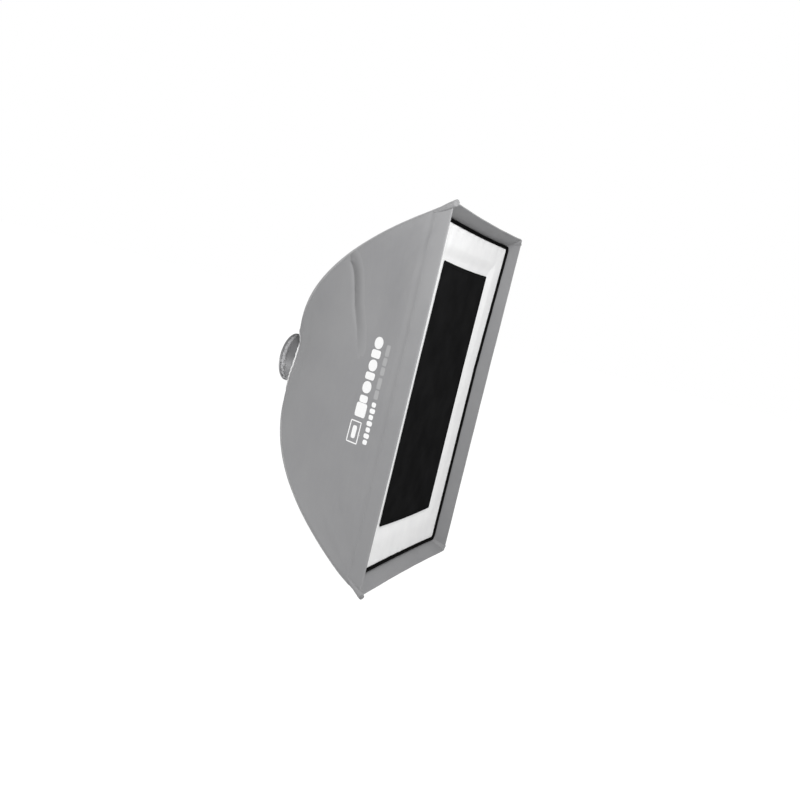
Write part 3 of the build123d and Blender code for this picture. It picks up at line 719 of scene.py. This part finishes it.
def panel_folds(points, side):
    """The folds of one panel, as heights: pulls from its rim corners, and the packing crease on one side."""
    total = 0
    for end in (-1, 1):
        for share, across, width, height in corner_pulls:
            start = panel_point(side, 0.985, 0.965 * end)
            total = total + fold(points, start, panel_point(side, share, across * end), width, height)
    if side == "left":
        total = total - crease(points, crease_depths, 14, 3, 1)
        for place, height, size in crease_bumps:
            gap = np.linalg.norm(points - panel_point(side, *place), axis=-1)
            total = total + height * np.exp(-((gap / size) ** 2))
    return total


def rim_distance(share):
    """Length of cloth from the rim to a share."""
    return (1 - share) * run_per_share


def gathering(points):
    """-1 to 1 round the speedring's hole, where the elastic gathers the cloth."""
    turn = np.arctan2(points[..., 2], points[..., 0])
    return np.cos(34 * turn + 2 * np.sin(5 * turn))


def panel_height(points, share, across, side):
    """How far the cloth stands off the plain surface, in millimetres, outwards."""
    from_rim = rim_distance(share)
    sleeve_edge = 11  # up to here from the seam the cloth lies on a rod's sleeve
    from_sleeve = np.maximum((1 - np.abs(across)) * half_along(side) * share - sleeve_edge, 0)
    slack = smooth(0.985, 0.82, share) * smooth(0.2, 0.4, share)
    bow = -panel_bow * (1 - across**2) * smooth(0.15, 0.45, share) * (1 - 0.8 * slack)
    upper = smooth(-0.6, 0.6, across)
    hollow, reach = 4 + 18 * upper, 10 + 42 * upper
    bow = bow - hollow * slack * (1 - np.exp(-from_sleeve / reach))
    drift = soft_noise(points, 170, seeds[side]) * 1.3 + soft_noise(points, 48, seeds[side] + 5) * 0.35
    loose = (drift + panel_folds(points, side)) * smooth(1.0, 0.9, np.abs(across)) * smooth(0, 30, from_rim)
    hem = 0.5 * smooth(52, 44, from_rim) - 1.1 * hump(from_rim, 55, 9) + 0.2 * hump(from_rim, 38, 3)
    hem = hem * smooth(1.0, 0.985, np.abs(across)) * smooth(0, 4, from_rim)
    from_hole = np.hypot(points[..., 0], points[..., 2]) - hole_radius
    gathers = 0.45 * gathering(points) * np.exp(-from_hole / 20)
    tuck = -10 * np.exp(-from_hole / 22) * hump(across, 0.55, 0.3) if side == "left" else 0
    return bow + loose + hem + (gathers + tuck) * smooth(1.0, 0.8, np.abs(across))


def shaped_panel(side, share, across, lift=0.0):
    """Finished surface of the shell cloth, lifted off it by lift, and its normals."""
    plain = panel_surface(share, across, side)
    normals = towards(grid_normals(plain), away_from_axis(plain) + np.array([0, 0.4, 0]))
    if plain.shape[1] > 3:
        normals[:, [0, -1]] = normals[:, [1, -2]]
    height = panel_height(plain, share, across, side) + lift
    push = normals * height[..., None]
    push[..., 1] *= smooth(0, 60, rim_distance(share))
    return plain + push, normals


def hole_share(across, side):
    """Share at which a panel ends round the speedring; its corners are cut back to clear the sockets."""
    radius = hole_radius + 15 * smooth(0.35, 1.0, np.abs(across))
    if sides[side][0]:
        return radius / np.hypot(half_width, half_height * across)
    return radius / np.hypot(half_height, half_width * across)


def panel_grid(side):
    """Shares and across values over one panel, finer at the hem and towards the seams."""
    rows = 300 if side == "left" else 82
    across = across_steps()
    first = 1 - np.array(hem_rows) / run_per_share
    last = hole_share(across, side)
    share = [np.full(len(across), value) for value in first]
    share += [first[-1] + (last - first[-1]) * t for t in np.linspace(0, 1, rows)[1:]]
    return np.array(share), np.broadcast_to(across, (len(share), len(across)))


# ---------------------------------------------------------------- shell panels
def make_panel(side):
    share, across = panel_grid(side)
    outer, normals = shaped_panel(side, share, across)
    half = half_along(side)
    value = from_rim = rim_distance(share)
    uv = np.stack([across * half * share, from_rim], -1)
    if side == "left":  # below zero where shade is painted into the crease
        painted_shade = crease(panel_surface(share, across, side), crease_painted_shade, 26, 1.5, 3)
        value = np.where(painted_shade > 0.03, -painted_shade, from_rim)
    batch = Batch().sheet(outer, outer - normals * cloth, uv, back_mark=1, value=value)
    piece = batch.piece(f"shell_cloth_{side}", [shell_cloth, lining], "softbox", "shell_cloth",
                        [f"shell_panel_{side}"])
    return outer[-1]


hole_edges = {side: make_panel(side) for side in sides}


def make_rim_roll():
    """The folded front edge, where shell and lip are turned over one another."""
    path = outline(half_width - 1.5, half_height - 1.5, rim_radius - 1.5, rim_bow, rim_y + 0.4, 130)
    wave = soft_noise(path, 60, 4.0)[:, None]
    path = path + away_from_axis(path) * 0.25 * wave
    rings = swept(path, away_from_axis(path), oval(1.7, 1.7, 12), 1 + 0.1 * wave[:, 0], loop=True)
    Batch().tube(rings, loop=True).piece("rim_roll", [shell_cloth], "softbox", "shell_cloth")


def make_rear_hem():
    """Elastic rolled into the edge of the hole round the speedring."""
    path = around(lambda side: hole_edges[side])
    gather = gathering(path)
    path = path + away_from_axis(path) * 1.2 + np.array([0, 0.4, 0])
    rings = swept(path, away_from_axis(path), oval(3.4, 2.2, 16), 1 + 0.04 * gather, loop=True)
    Batch().tube(rings, loop=True).piece("rear_hem_cloth", [elastic], "softbox", "piping", ["rear_hem"])


make_rim_roll()
make_rear_hem()


# ---------------------------------------------------------------- seams, corner pockets, rods' sleeves
def seam_point(sign_x, sign_z, share, inset):
    """Point inside a corner seam: on the flare curve of the seam, moved inwards along its normal."""
    slope = apex_depth * curve_power * share ** (curve_power - 1) / corner_reach
    out, back = slope / hypot(slope, 1), 1 / hypot(slope, 1)
    reach = share - inset * out / corner_reach
    y = y_at_share(share) - inset * back
    return np.array([sign_x * reach * half_width, y, sign_z * reach * half_height])


def corner_side(sign_x, sign_z):
    """Direction across a corner seam, from one panel to the other."""
    return np.array([-sign_x * half_height, 0, sign_z * half_width]) / corner_reach


def make_seam(number, sign_x, sign_z):
    """Bound seam between two panels, with the cord in it showing as a ridge."""
    side = "right" if sign_x > 0 else "left"
    share = np.linspace(0.21, 0.965, 170)
    path = panel_surface(share, np.full(len(share), float(sign_z)), side)
    path = path + away_from_axis(path) * (0.5 + 0.2 * soft_noise(path, 35, number))[:, None]
    size = smooth(0.99, 0.88, share) * 0.5 + 0.5
    cord = swept(path, corner_side(sign_x, sign_z), oval(1.9, 1.5, 12), size)
    width = 1.5 + 11 * smooth(0.93, 0.35, share)[:, None] * np.linspace(0, 1, 9)
    across = sign_z * (1 - width / (half_height * share[:, None]))
    shares = np.broadcast_to(share[:, None], across.shape)
    tape, normals = shaped_panel(side, shares, across, 0.7)
    uv = np.stack([shares * run_per_share, width], -1)
    batch = Batch().tube(cord).sheet(tape, tape - normals * 0.8, uv)
    batch.piece(f"seam_binding_{number}", [piping], "softbox", "piping", [f"seam_piping_{number}"])


def make_pocket(number, sign_x, sign_z):
    """Stitched webbing pocket over a rod's tip, flared at its mouth and closed at its end."""
    start, ahead = seam_point(sign_x, sign_z, 0.95, 9.0), seam_point(sign_x, sign_z, 0.999, 6.9)
    direction = unit(ahead - start)
    tip_y = rim_y + (-7 if sign_x < 0 else 0)  # the left pockets stand out in front of the rim
    length = float((tip_y - start[1]) / direction[1])
    place = np.array([0, 0.2, 0.4, 0.6, 0.7, 0.78, 0.86, 0.92, 0.955, 0.98, 0.995, 1.0])
    size = np.array([0.561, 0.7344, 0.867, 0.969, 1, 1, 1, 1, 1, 0.9792, 0.8976, 0.7752])
    path = start + direction * (place * length)[:, None]
    hint = corner_side(sign_x, sign_z)
    batch = Batch().tube(swept(path, hint, oval(11.5, 6.6, 20, 0.7), size))
    batch.piece(f"pocket_{number}", [webbing], "softbox", "corner_webbing", [f"corner_pocket_{number}"])
    for share in (0.86, 0.92):
        turn = np.linspace(0, 2 * pi, 40)
        other = np.cross(direction, hint)
        spokes = np.cos(turn)[:, None] * hint * 11.0 + np.sin(turn)[:, None] * other * 6.9
        sew(shell_stitches, start + direction * share * length + spokes, unit(spokes), 3.0)


def rod_arcs(sign_x, sign_z, points):
    """Tangent arcs through (share, inset) points of a corner seam."""
    places = [seam_point(sign_x, sign_z, *point) for point in points]
    tangent = unit(seam_point(sign_x, sign_z, points[0][0] + 0.01, points[0][1]) - places[0])
    path = []
    for start, end in zip(places, places[1:]):
        chord = end - start
        aim = unit(chord)
        after = 2 * (tangent @ aim) * aim - tangent
        t = np.linspace(0, 1, 14)[:-1, None]
        length = np.linalg.norm(chord)
        start_pull, end_pull = tangent * length, after * length
        path.append((2 * t**3 - 3 * t**2 + 1) * start + (t**3 - 2 * t**2 + t) * start_pull
                    + (3 * t**2 - 2 * t**3) * end + (t**3 - t**2) * end_pull)
        tangent = after
    return np.concatenate([*path, places[-1:]])


def make_sleeve(number, sign_x, sign_z):
    """Loose cloth tunnel that a rod runs through, inside the seam."""
    path = rod_arcs(sign_x, sign_z, [(0.3, 11.5), (0.45, 12), (0.6, 12), (0.74, 12), (0.86, 10.5)])
    size = 1 + 0.07 * soft_noise(path, 14, number * 3.3)
    rings = swept(path, corner_side(sign_x, sign_z), oval(4.9, 4.2, 14), size)
    Batch().tube(rings).piece(f"sleeve_{number}", [sleeve_cloth], "softbox", "sleeve_cloth",
                              [f"rod_sleeve_{number}"])


shell_stitches = Batch()
for number, (sign_x, sign_z) in enumerate(corners, start=1):
    make_seam(number, sign_x, sign_z)
    make_pocket(number, sign_x, sign_z)
    make_sleeve(number, sign_x, sign_z)


# ---------------------------------------------------------------- recessed lip and its loop tape
front_bow = (0.3, 3.0)  # how far the middles of the diffuser's edges are drawn in
seat_radius = 14  # corners of the diffuser's seat
flange = 23  # turned-in edge of a lip, under the loop tape


def seat_lift(z):
    """How far the diffuser's seat is drawn forward towards the upper end of the front."""
    return 7.4 * np.clip((z - 80) / 340, 0, 1)


def lip_surface(side, w, across):
    """Visible side of a lip, w from 0 at the rim to 1 at the diffuser's seat, then a flange up to 1.5."""
    slope = np.minimum(w, 1)
    turned_in = 3.3 + flange * np.maximum(w - 1, 0) / 0.5
    a = half_width - lip_inset[0] * slope - turned_in
    b = half_height - lip_inset[1] * slope - turned_in
    radius = rim_radius - 3 + (seat_radius - rim_radius + 3) * slope
    x, z = soften_corner(*on_side(side, across, a, b), a, b, radius)
    bows = [front + (rim - front) * (1 - slope) for rim, front in zip(rim_bow, front_bow)]
    x, z = bowed(x, z, a, b, bows)
    return np.stack([x, rim_y + (lip_depth - seat_lift(z)) * slope, z], -1)


def make_lip(side):
    """Strip from the rim back to the diffuser, with a turned-in flange that carries the loop tape."""
    rows = np.array([0, 0.03, 0.07, 0.15, 0.3, 0.45, 0.6, 0.72, 0.8, 0.84, 0.88, 0.94, 0.98, 1,
                     1.04, 1.2, 1.35, 1.5])
    across = np.broadcast_to(across_steps(110), (len(rows), 110))
    w = np.broadcast_to(rows[:, None], across.shape)
    plain = lip_surface(side, w, across)
    normals = towards(grid_normals(plain), -away_from_axis(plain) + np.array([0, -0.8, 0]))
    loose = smooth(0, 0.2, w) * smooth(0.95, 0.8, w) * smooth(1, 0.96, np.abs(across))
    height = loose * (0.7 * soft_noise(plain, 60, seeds[side] + 2) + 0.3 * soft_noise(plain, 17, 9))
    height = height + 0.5 * smooth(0.8, 0.84, w) * smooth(1.0, 0.97, w)
    front = plain + normals * height[..., None]
    half = half_along(side)
    slant = hypot(lip_depth, lip_inset[0 if sides[side][0] else 1])
    uv = np.stack([across * half, w * slant], -1)
    batch = Batch().sheet(front, front - normals * 1.2, uv, value=w * slant + 3)
    piece = batch.piece(f"lip_cloth_{side}", [lip_cloth], "softbox", "shell_cloth", [f"lip_{side}"])
    for row in (9, 10):
        sew(shell_stitches, front[row], normals[row])


for side in sides:
    make_lip(side)


def panel_line(side, from_rim, lift=0.0):
    """Points and normals along a panel at a distance from its rim."""
    across = across_steps()
    share = 1 - (from_rim + np.array([-1, 0, 1.0])) / run_per_share
    grid = np.broadcast_to(share[:, None], (3, len(across)))
    points, normals = shaped_panel(side, grid, np.broadcast_to(across, grid.shape), lift)
    return points[1], normals[1]


def seam_line(side, end, distance):
    """Points and normals along a panel, at a distance from its corner seam."""
    share = np.linspace(0.25, 0.95, 150)[:, None]
    across = end * (1 - (distance + np.array([-1, 0, 1.0])) / (half_along(side) * share))
    points, normals = shaped_panel(side, np.broadcast_to(share, across.shape), across)
    return points[:, 1], normals[:, 1]


for side in sides:
    for from_rim in (40, 43.2):  # the hem's two rows
        points, normals = panel_line(side, from_rim, 0.1)
        sew(shell_stitches, points[4:-4], normals[4:-4])
    for end in (-1, 1):
        sew(shell_stitches, *seam_line(side, end, 7.5))
shell_stitches.piece("shell_stitches", [grey_thread], "softbox")


def tape_strips(node, depth, thickness, seed):
    """Four strips of hook or loop tape round the diffuser's seat, drawn in with its edges."""
    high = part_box(node)[1]
    a, b = high.x / MM, high.z / MM
    batch = Batch()
    for sx, sz in sides.values():
        half = (b - 24) if sx else (a - tape_width - 1)
        rows = np.linspace(-1, 1, 60) * half, np.linspace(0, tape_width, 9)
        along, inwards = np.meshgrid(*rows, indexing="ij")
        x = sx * (a - inwards) if sx else along
        z = sz * (b - inwards) if sz else along
        x, z = bowed(x, z, a, b, front_bow, 4)
        flat = np.stack([x, rim_y + depth - seat_lift(z), z], -1)
        front = flat + np.array([0, 0.12, 0]) * soft_noise(flat, 3, seed)[..., None]
        batch.sheet(front, flat + np.array([0, thickness, 0]), np.stack([along, inwards], -1))
    return batch


tape_strips("lip_loop_tape", 39.3, 1.1, 1).piece(
    "loop_tape", [hook_and_loop], "softbox", "hook_and_loop", ["lip_loop_tape"])
tape_strips("diffuser_hook_tape", 37.7, 1.1, 7).piece(
    "hook_tape", [hook_and_loop], "front_diffuser", "hook_and_loop", ["diffuser_hook_tape"])


# ---------------------------------------------------------------- front diffuser and its binding
border_half = (border_high.x / MM, border_high.z / MM)
border_width = 9
border_tilt = radians(35)  # the binding's outer edge leans forwards on the lip
border_radius = 14
border_depth = 32.7  # depths are from the rim
cloth_depth = 35.8
dish = 4  # how far the middle of the diffuser sinks behind its edges
mask_half = ((mask_high.x - mask_low.x) / 2 / MM, (mask_high.z - mask_low.z) / 2 / MM)
mask_centre = (mask_high.z + mask_low.z) / 2 / MM
mask_slip = 3.5  # half of how far one long edge of the mask is drawn in
mask_bow = (1.0, -1.5)
mask_depth = (mask_low.y / MM - rim_y) + 0.3 + dish


def cloth_grid(a, b, radius, bow, columns=100, rows=140):
    """x and z over a flat sheet with round corners and drawn-in edges, finer at the edges."""
    x, z = np.meshgrid(across_steps(columns) * a, across_steps(rows) * b, indexing="ij")
    x, z = soften_corner(x, z, a, b, radius)
    return bowed(x, z, a, b, bow, 4)


def thin_sheet(front):
    """Sheet with this front surface; its flat coordinates are x and z."""
    return Batch().sheet(front, front + np.array([0, sheet_thickness, 0]), front[..., [0, 2]])


def diffuser_height(x, z):
    """Height of the diffuser cloth towards the front: flat under the mask, puckered at its binding."""
    a, b = border_half
    clear_x = smooth(mask_half[0] + 2, mask_half[0] + 40, np.abs(x))
    clear_z = smooth(mask_half[1] + 2, mask_half[1] + 40, np.abs(z - mask_centre))
    clear = np.maximum(clear_x, clear_z)
    place = np.stack([x, 0 * x, z], -1)
    soft = 0.6 + 0.9 * soft_noise(place, 75, 2.2) + 0.35 * soft_noise(place, 26, 8.1)
    inside_x, inside_z = a - border_width - np.abs(x), b - border_width - np.abs(z)
    end_z, end_x = np.exp(-inside_z / 13), np.exp(-inside_x / 11)
    phase_x = x / 8.5 + 1.6 * np.sin(x / 37) + np.sign(z)
    phase_z = z / 9.5 + 1.8 * np.sin(z / 41) + np.sign(x)
    puckers = 1.3 * np.sin(phase_x) * end_z + 0.7 * np.sin(phase_z) * end_x
    diagonal = np.abs(np.abs(x) - a + (b - np.abs(z)))
    corner = 1.0 * np.exp(-((diagonal / 7) ** 2)) * np.exp(-(b - np.abs(z)) / 55)
    edge = smooth(0, 9, inside_x + 3) * smooth(0, 9, inside_z + 3)
    seat = seat_lift(z) * (0.3 + 0.7 * clear) - dish * (1 - clear)
    return (clear * soft + puckers * 0.8 + corner) * edge + seat


def make_diffuser():
    a, b = (half - border_width * cos(border_tilt) + 1 for half in border_half)
    x, z = cloth_grid(a, b, border_radius - border_width, front_bow)
    front = np.stack([x, rim_y + cloth_depth - diffuser_height(x, z), z], -1)
    piece = thin_sheet(front).piece("diffuser_sheet", [diffuser_cloth], "front_diffuser", "diffuser_cloth",
                                    ["front_diffuser"])


def make_binding(name, size, width, radius, bow, y, materials, body, slot, replaced, tilt=0.0, lift=None):
    """Tape folded over the edge of a sheet. tilt turns its outer edge forwards. Gives back its stitches."""
    inset = width / 2 * cos(tilt)
    centre = outline(size[0] - inset, size[1] - inset, radius - inset, bow, y)
    if lift:
        centre[:, 1] -= lift(centre[:, 2])
    tangent = unit(np.roll(centre, -1, axis=0) - np.roll(centre, 1, axis=0))
    forward = np.array([0.0, -1, 0])
    outward = towards(unit(np.cross(tangent, forward)), centre * np.array([1, 0, 1]))
    across = outward * cos(tilt) + forward * sin(tilt)
    facing = forward * cos(tilt) - outward * sin(tilt)
    wave = soft_noise(centre, 26, size[0])[:, None]
    centre = centre + across * 0.25 * wave + facing * 0.15 * wave
    rings = swept(centre, across, oval(width / 2, 1.15, 16, 0.55), loop=True)
    Batch().tube(rings, loop=True).piece(name, materials, body, slot, replaced)
    row = centre - across * (width / 2 - 2.4) + facing * 1.1
    stitches = Batch()
    sew(stitches, closed(row), closed(facing), 3.2)
    return stitches


make_diffuser()
make_binding("diffuser_binding", border_half, border_width, border_radius, front_bow, rim_y + border_depth,
             [black_binding], "front_diffuser", "black_binding", ["diffuser_border"], border_tilt,
             seat_lift).piece("diffuser_stitches", [black_thread], "front_diffuser")


# ---------------------------------------------------------------- centre mask
def mask_height_at(x, z):
    """Height of the mask towards the front: hem, fold lines from its bag, and soft ripples."""
    a, b = mask_half
    from_edge = np.minimum(a - np.abs(x), b - np.abs(z - mask_centre))
    hem = 0.5 * smooth(13, 11, from_edge) - 0.3 * hump(from_edge, 9, 0.9)
    place = np.stack([x, 0 * x, z], -1)
    soft = 0.5 + 0.45 * soft_noise(place, 90, 5.5) + 0.2 * soft_noise(place, 22, 1.5)
    middle = 1.5 * np.exp(-np.abs(z - mask_centre + 4 * np.sin(x / 60)) / 5)
    upright = 0.0
    for place_x, size, shift in ((-118, 0.25, 0), (-59, 0.35, 1), (2, 0.5, 2), (61, 0.3, 3), (119, 0.2, 4)):
        wander = place_x + 3 * np.sin(z / 90 + shift) + 1.5 * np.sin(z / 31 + 2 * shift)
        upright = upright + size * np.exp(-np.abs(x - wander) / 3.5)
    inside = smooth(0, 16, from_edge)
    return hem + (np.maximum(soft, 0) + middle + upright) * inside


def mask_sag(x, z):
    """How far the mask's lower edge sags, and its upper corner hangs lower on one side."""
    a, b = mask_half
    across = 1 - (x / a) ** 2
    low, high = smooth(-b + 120, -b, z), smooth(b - 200, b, z)
    return 1.3 * across * low + (1.3 * (1 + x / a) + 4 * across) * high


def mask_point(x, z, behind=None):
    """Where a place on the flat mask lies on the diffuser, on its face or this far behind its flat level."""
    x, z = x + mask_slip * (1 - x / mask_half[0]), z + mask_centre - mask_sag(x, z)
    rise = mask_height_at(x, z) if behind is None else -behind
    return np.stack([x, rim_y + mask_depth - rise - 0.3 * seat_lift(z), z], -1)


def make_mask():
    a, b = mask_half
    front = mask_point(*cloth_grid(a, b, 2, mask_bow, 110, 150))
    piece = thin_sheet(front).piece("mask_sheet", [mask_cloth], "center_mask", "mask_cloth", ["center_mask"])
    stitches = Batch()
    for inset in (2.5, 9):
        flat = outline(a - inset, b - inset, 0.5, mask_bow, 0)
        row = closed(mask_point(flat[:, 0], flat[:, 2]))
        sew(stitches, row, np.broadcast_to([0.0, -1, 0], row.shape))
    stitches.piece("mask_stitches", [black_thread], "center_mask")
    tape = Batch()
    for sx, sz in sides.values():
        half = (b if sx else a - tape_width - 2) - 2
        rows = np.linspace(-1, 1, 60) * half, np.linspace(2, tape_width, 8)
        along, inwards = np.meshgrid(*rows, indexing="ij")
        x, z = (sx * (a - inwards), along) if sx else (along, sz * (b - inwards))
        place = mask_point(x, z, 0.95)
        rough = np.array([0, 0.12, 0]) * soft_noise(place, 3, 4.4)[..., None]
        tape.sheet(place, place + np.array([0, 0.9, 0]) + rough, np.stack([along, inwards], -1))
    tape.piece("mask_tape", [hook_and_loop], "center_mask", "hook_and_loop", ["mask_hook_tape"])


make_mask()


# ---------------------------------------------------------------- inner baffle
def make_baffle():
    a, b = baffle_high.x / MM, baffle_high.z / MM
    front_y = baffle_low.y / MM
    bow = (2.5, 2.5)
    x, z = cloth_grid(a - 7, b - 7, 14, bow, 60, 80)
    place = np.stack([x, 0 * x, z], -1)
    height = 0.8 + 0.8 * soft_noise(place, 70, 6.1) + 0.3 * soft_noise(place, 24, 3.1)
    height = height * smooth(0, 12, np.minimum(a - 8 - np.abs(x), b - 8 - np.abs(z)))
    front = np.stack([x, front_y + 0.4 - height, z], -1)
    piece = thin_sheet(front).piece("baffle_sheet", [diffuser_cloth], "softbox", "diffuser_cloth",
                                    ["inner_baffle"])
    make_binding("baffle_edge", (a, b), 8, 20, bow, front_y + 0.8, [black_binding], "softbox",
                 "black_binding", ["baffle_binding"]).piece("baffle_stitches", [white_thread], "softbox")
    snaps = Batch()
    turned = [(5.2, 1.2), (5.2, 0.6), (4.9, 0.15), (4.2, -0.1), (3.9, 0.35), (3.4, 0.3), (3.0, -0.5),
              (2.0, -0.95), (0.7, -1.1)]
    for sign_x, sign_z in corners:
        centre = np.array([sign_x * (a - 16), front_y, sign_z * (b - 16)])
        snaps.tube(disc(centre, np.array([1, 0, 0]), np.array([0, 0, 1]), (0, 1, 0), turned))
    snaps.piece("snaps", [plated_steel], "softbox", "plated_steel", ["baffle_snaps"])


make_baffle()


# ---------------------------------------------------------------- printed bars on the left panel
def print_bar(batch, z, depth, length, width, mark, radius):
    """Rounded bar of ink on the left panel, lengthwise along Z, with its middle this deep behind the rim."""
    clear, sunk = 0.3, 0.3  # above and below the cloth
    u = np.linspace(-1, 1, max(6, int(length / 4)))
    v = np.linspace(-1, 1, max(5, int(width / 3)))
    along, across = np.meshgrid(u * length / 2, v * width / 2, indexing="ij")
    along, across = soften_corner(along, across, length / 2, width / 2, radius)
    share = share_at_depth(depth + across)
    top, normals = shaped_panel("left", share, (z + along) / (half_height * share), clear)
    batch.sheet(top, top - normals * (clear + sunk), np.stack([along, across], -1), mark)


def make_print():
    """Generic marks: a framed bar, a row of discs and tiles, and a row of small tiles and grey bars."""
    bars = [(-100, 111.5, 50, 2.8, 1.3), (-100, 143, 50, 2.8, 1.3), (-125, 127, 2.8, 33, 1.3),
            (-75, 127, 2.8, 33, 1.3), (-100, 127, 30, 13, 4)]
    bars += [(z, 123, length, width, radius) for z, length, width, radius in (
        (-47, 33, 33, 5), (-21, 17, 25, 5), (7, 28, 28, 13), (33.5, 17, 30, 5), (58.5, 27, 28, 13),
        (85.5, 19, 30, 5), (111.5, 28, 28, 13))]
    bars += [(14.6 * k - 113.5, 88, 11.2, 16 if k % 2 else 13, 4) for k in range(7)]
    grey_bars = [(-2.5, 21), (24, 26), (52.5, 19), (74.5, 19), (100, 26)]
    batch, shift = Batch(), 3.5
    for z, depth, length, width, radius in bars:
        print_bar(batch, z + shift, depth, length, width, 0, radius)
    for z, length in grey_bars:
        print_bar(batch, z + shift, 88, length, 13, 1, 3)
    batch.piece("printed_bars", [white_print, grey_print], "softbox")


make_print()


# ---------------------------------------------------------------- CAD pieces that are shown as they are
finishes = {
    "corner_webbing": webbing, "sleeve_cloth": sleeve_cloth, "piping": piping, "rubber": rubber,
    "diffuser_cloth": diffuser_cloth, "black_binding": black_binding, "hook_and_loop": hook_and_loop,
    "mask_cloth": mask_cloth, "spring_steel": spring_steel, "plated_steel": plated_steel,
    "cast_aluminium": ring_metal, "collar_grey": collar_metal, "grip_plastic": grip_plastic,
    "knob_plastic": knob_plastic, "shell_cloth": shell_cloth,
}
for part in frame["record"]["subparts"]:
    mesh = frame["nodes"][part["node"]].data
    mesh.materials.clear()
    mesh.materials.append(finishes[part["material_slot"]])


# ---------------------------------------------------------------- camera, light and floor
def make_camera():
    """The view is given as a direction round the softbox, a height and a tilt of the camera."""
    azimuth, elevation, roll = radians(-69.59), radians(6.61), radians(13.556)
    eye = Vector((-2.168, -1.136, 0.237))
    back = Vector((sin(azimuth) * cos(elevation), -cos(azimuth) * cos(elevation), sin(elevation)))
    turn = (-back).to_track_quat("-Z", "Y") @ Quaternion((0, 0, 1), roll)
    data = bpy.data.cameras.new("camera")
    data.lens, data.sensor_width = 41.18, 36
    camera = bpy.data.objects.new("camera", data)
    camera.location, camera.rotation_mode, camera.rotation_quaternion = eye, "QUATERNION", turn
    bpy.context.scene.collection.objects.link(camera)
    bpy.context.scene.camera = camera


def add_area(name, place, aim, size, power):
    """Round soft light, in metres and watts."""
    data = bpy.data.lights.new(name, "AREA")
    data.shape, data.size, data.energy = "DISK", size, power
    lamp = bpy.data.objects.new(name, data)
    lamp.location = place
    lamp.rotation_mode = "QUATERNION"
    lamp.rotation_quaternion = (Vector(aim) - Vector(place)).to_track_quat("-Z", "Y")
    lamp.visible_camera = False
    bpy.context.scene.collection.objects.link(lamp)


def make_studio():
    """White all round for the camera, softer for what the light does, and a pale floor."""
    world = bpy.data.worlds.new("studio")
    world.use_nodes = True
    tree = world.node_tree
    seen, cast = tree.nodes["Background"], tree.nodes.new("ShaderNodeBackground")
    for background, strength in ((seen, 1.0), (cast, 0.5)):
        background.inputs["Color"].default_value = (1, 1, 1, 1)
        background.inputs["Strength"].default_value = strength
    mixed, path = tree.nodes.new("ShaderNodeMixShader"), tree.nodes.new("ShaderNodeLightPath")
    tree.links.new(path.outputs["Is Camera Ray"], mixed.inputs[0])
    tree.links.new(cast.outputs[0], mixed.inputs[1])
    tree.links.new(seen.outputs[0], mixed.inputs[2])
    tree.links.new(mixed.outputs[0], tree.nodes["World Output"].inputs[0])
    bpy.context.scene.world = world
    floor_finish = Finish("floor", (0.9, 0.9, 0.9), 0.9, specular=0.0)
    floor_finish.set("Emission Color", (1, 1, 1, 1))
    floor_finish.set("Emission Strength", 0.62)
    size, drop = 30000, -900
    edge = np.array([[-size, -size, drop], [size, -size, drop], [size, size, drop], [-size, size, drop]])
    floor = Batch().add(edge, [[0, 1, 2, 3]], [0], edge[:, :2]).piece("floor", [floor_finish.done()], None)
    floor.visible_diffuse = False
    bpy.context.scene.view_settings.view_transform = "Standard"


make_camera()
make_studio()
add_area("key", (-1.2, -1.0, 0.85), (-0.25, -0.35, 0.2), 0.5, 16.5)
add_area("front", (0.2, -2.8, 0.1), (0, -0.3, 0), 2.0, 13)
add_area("low", (-1.1, 1.2, -0.8), (-0.2, -0.2, -0.2), 0.8, 18)
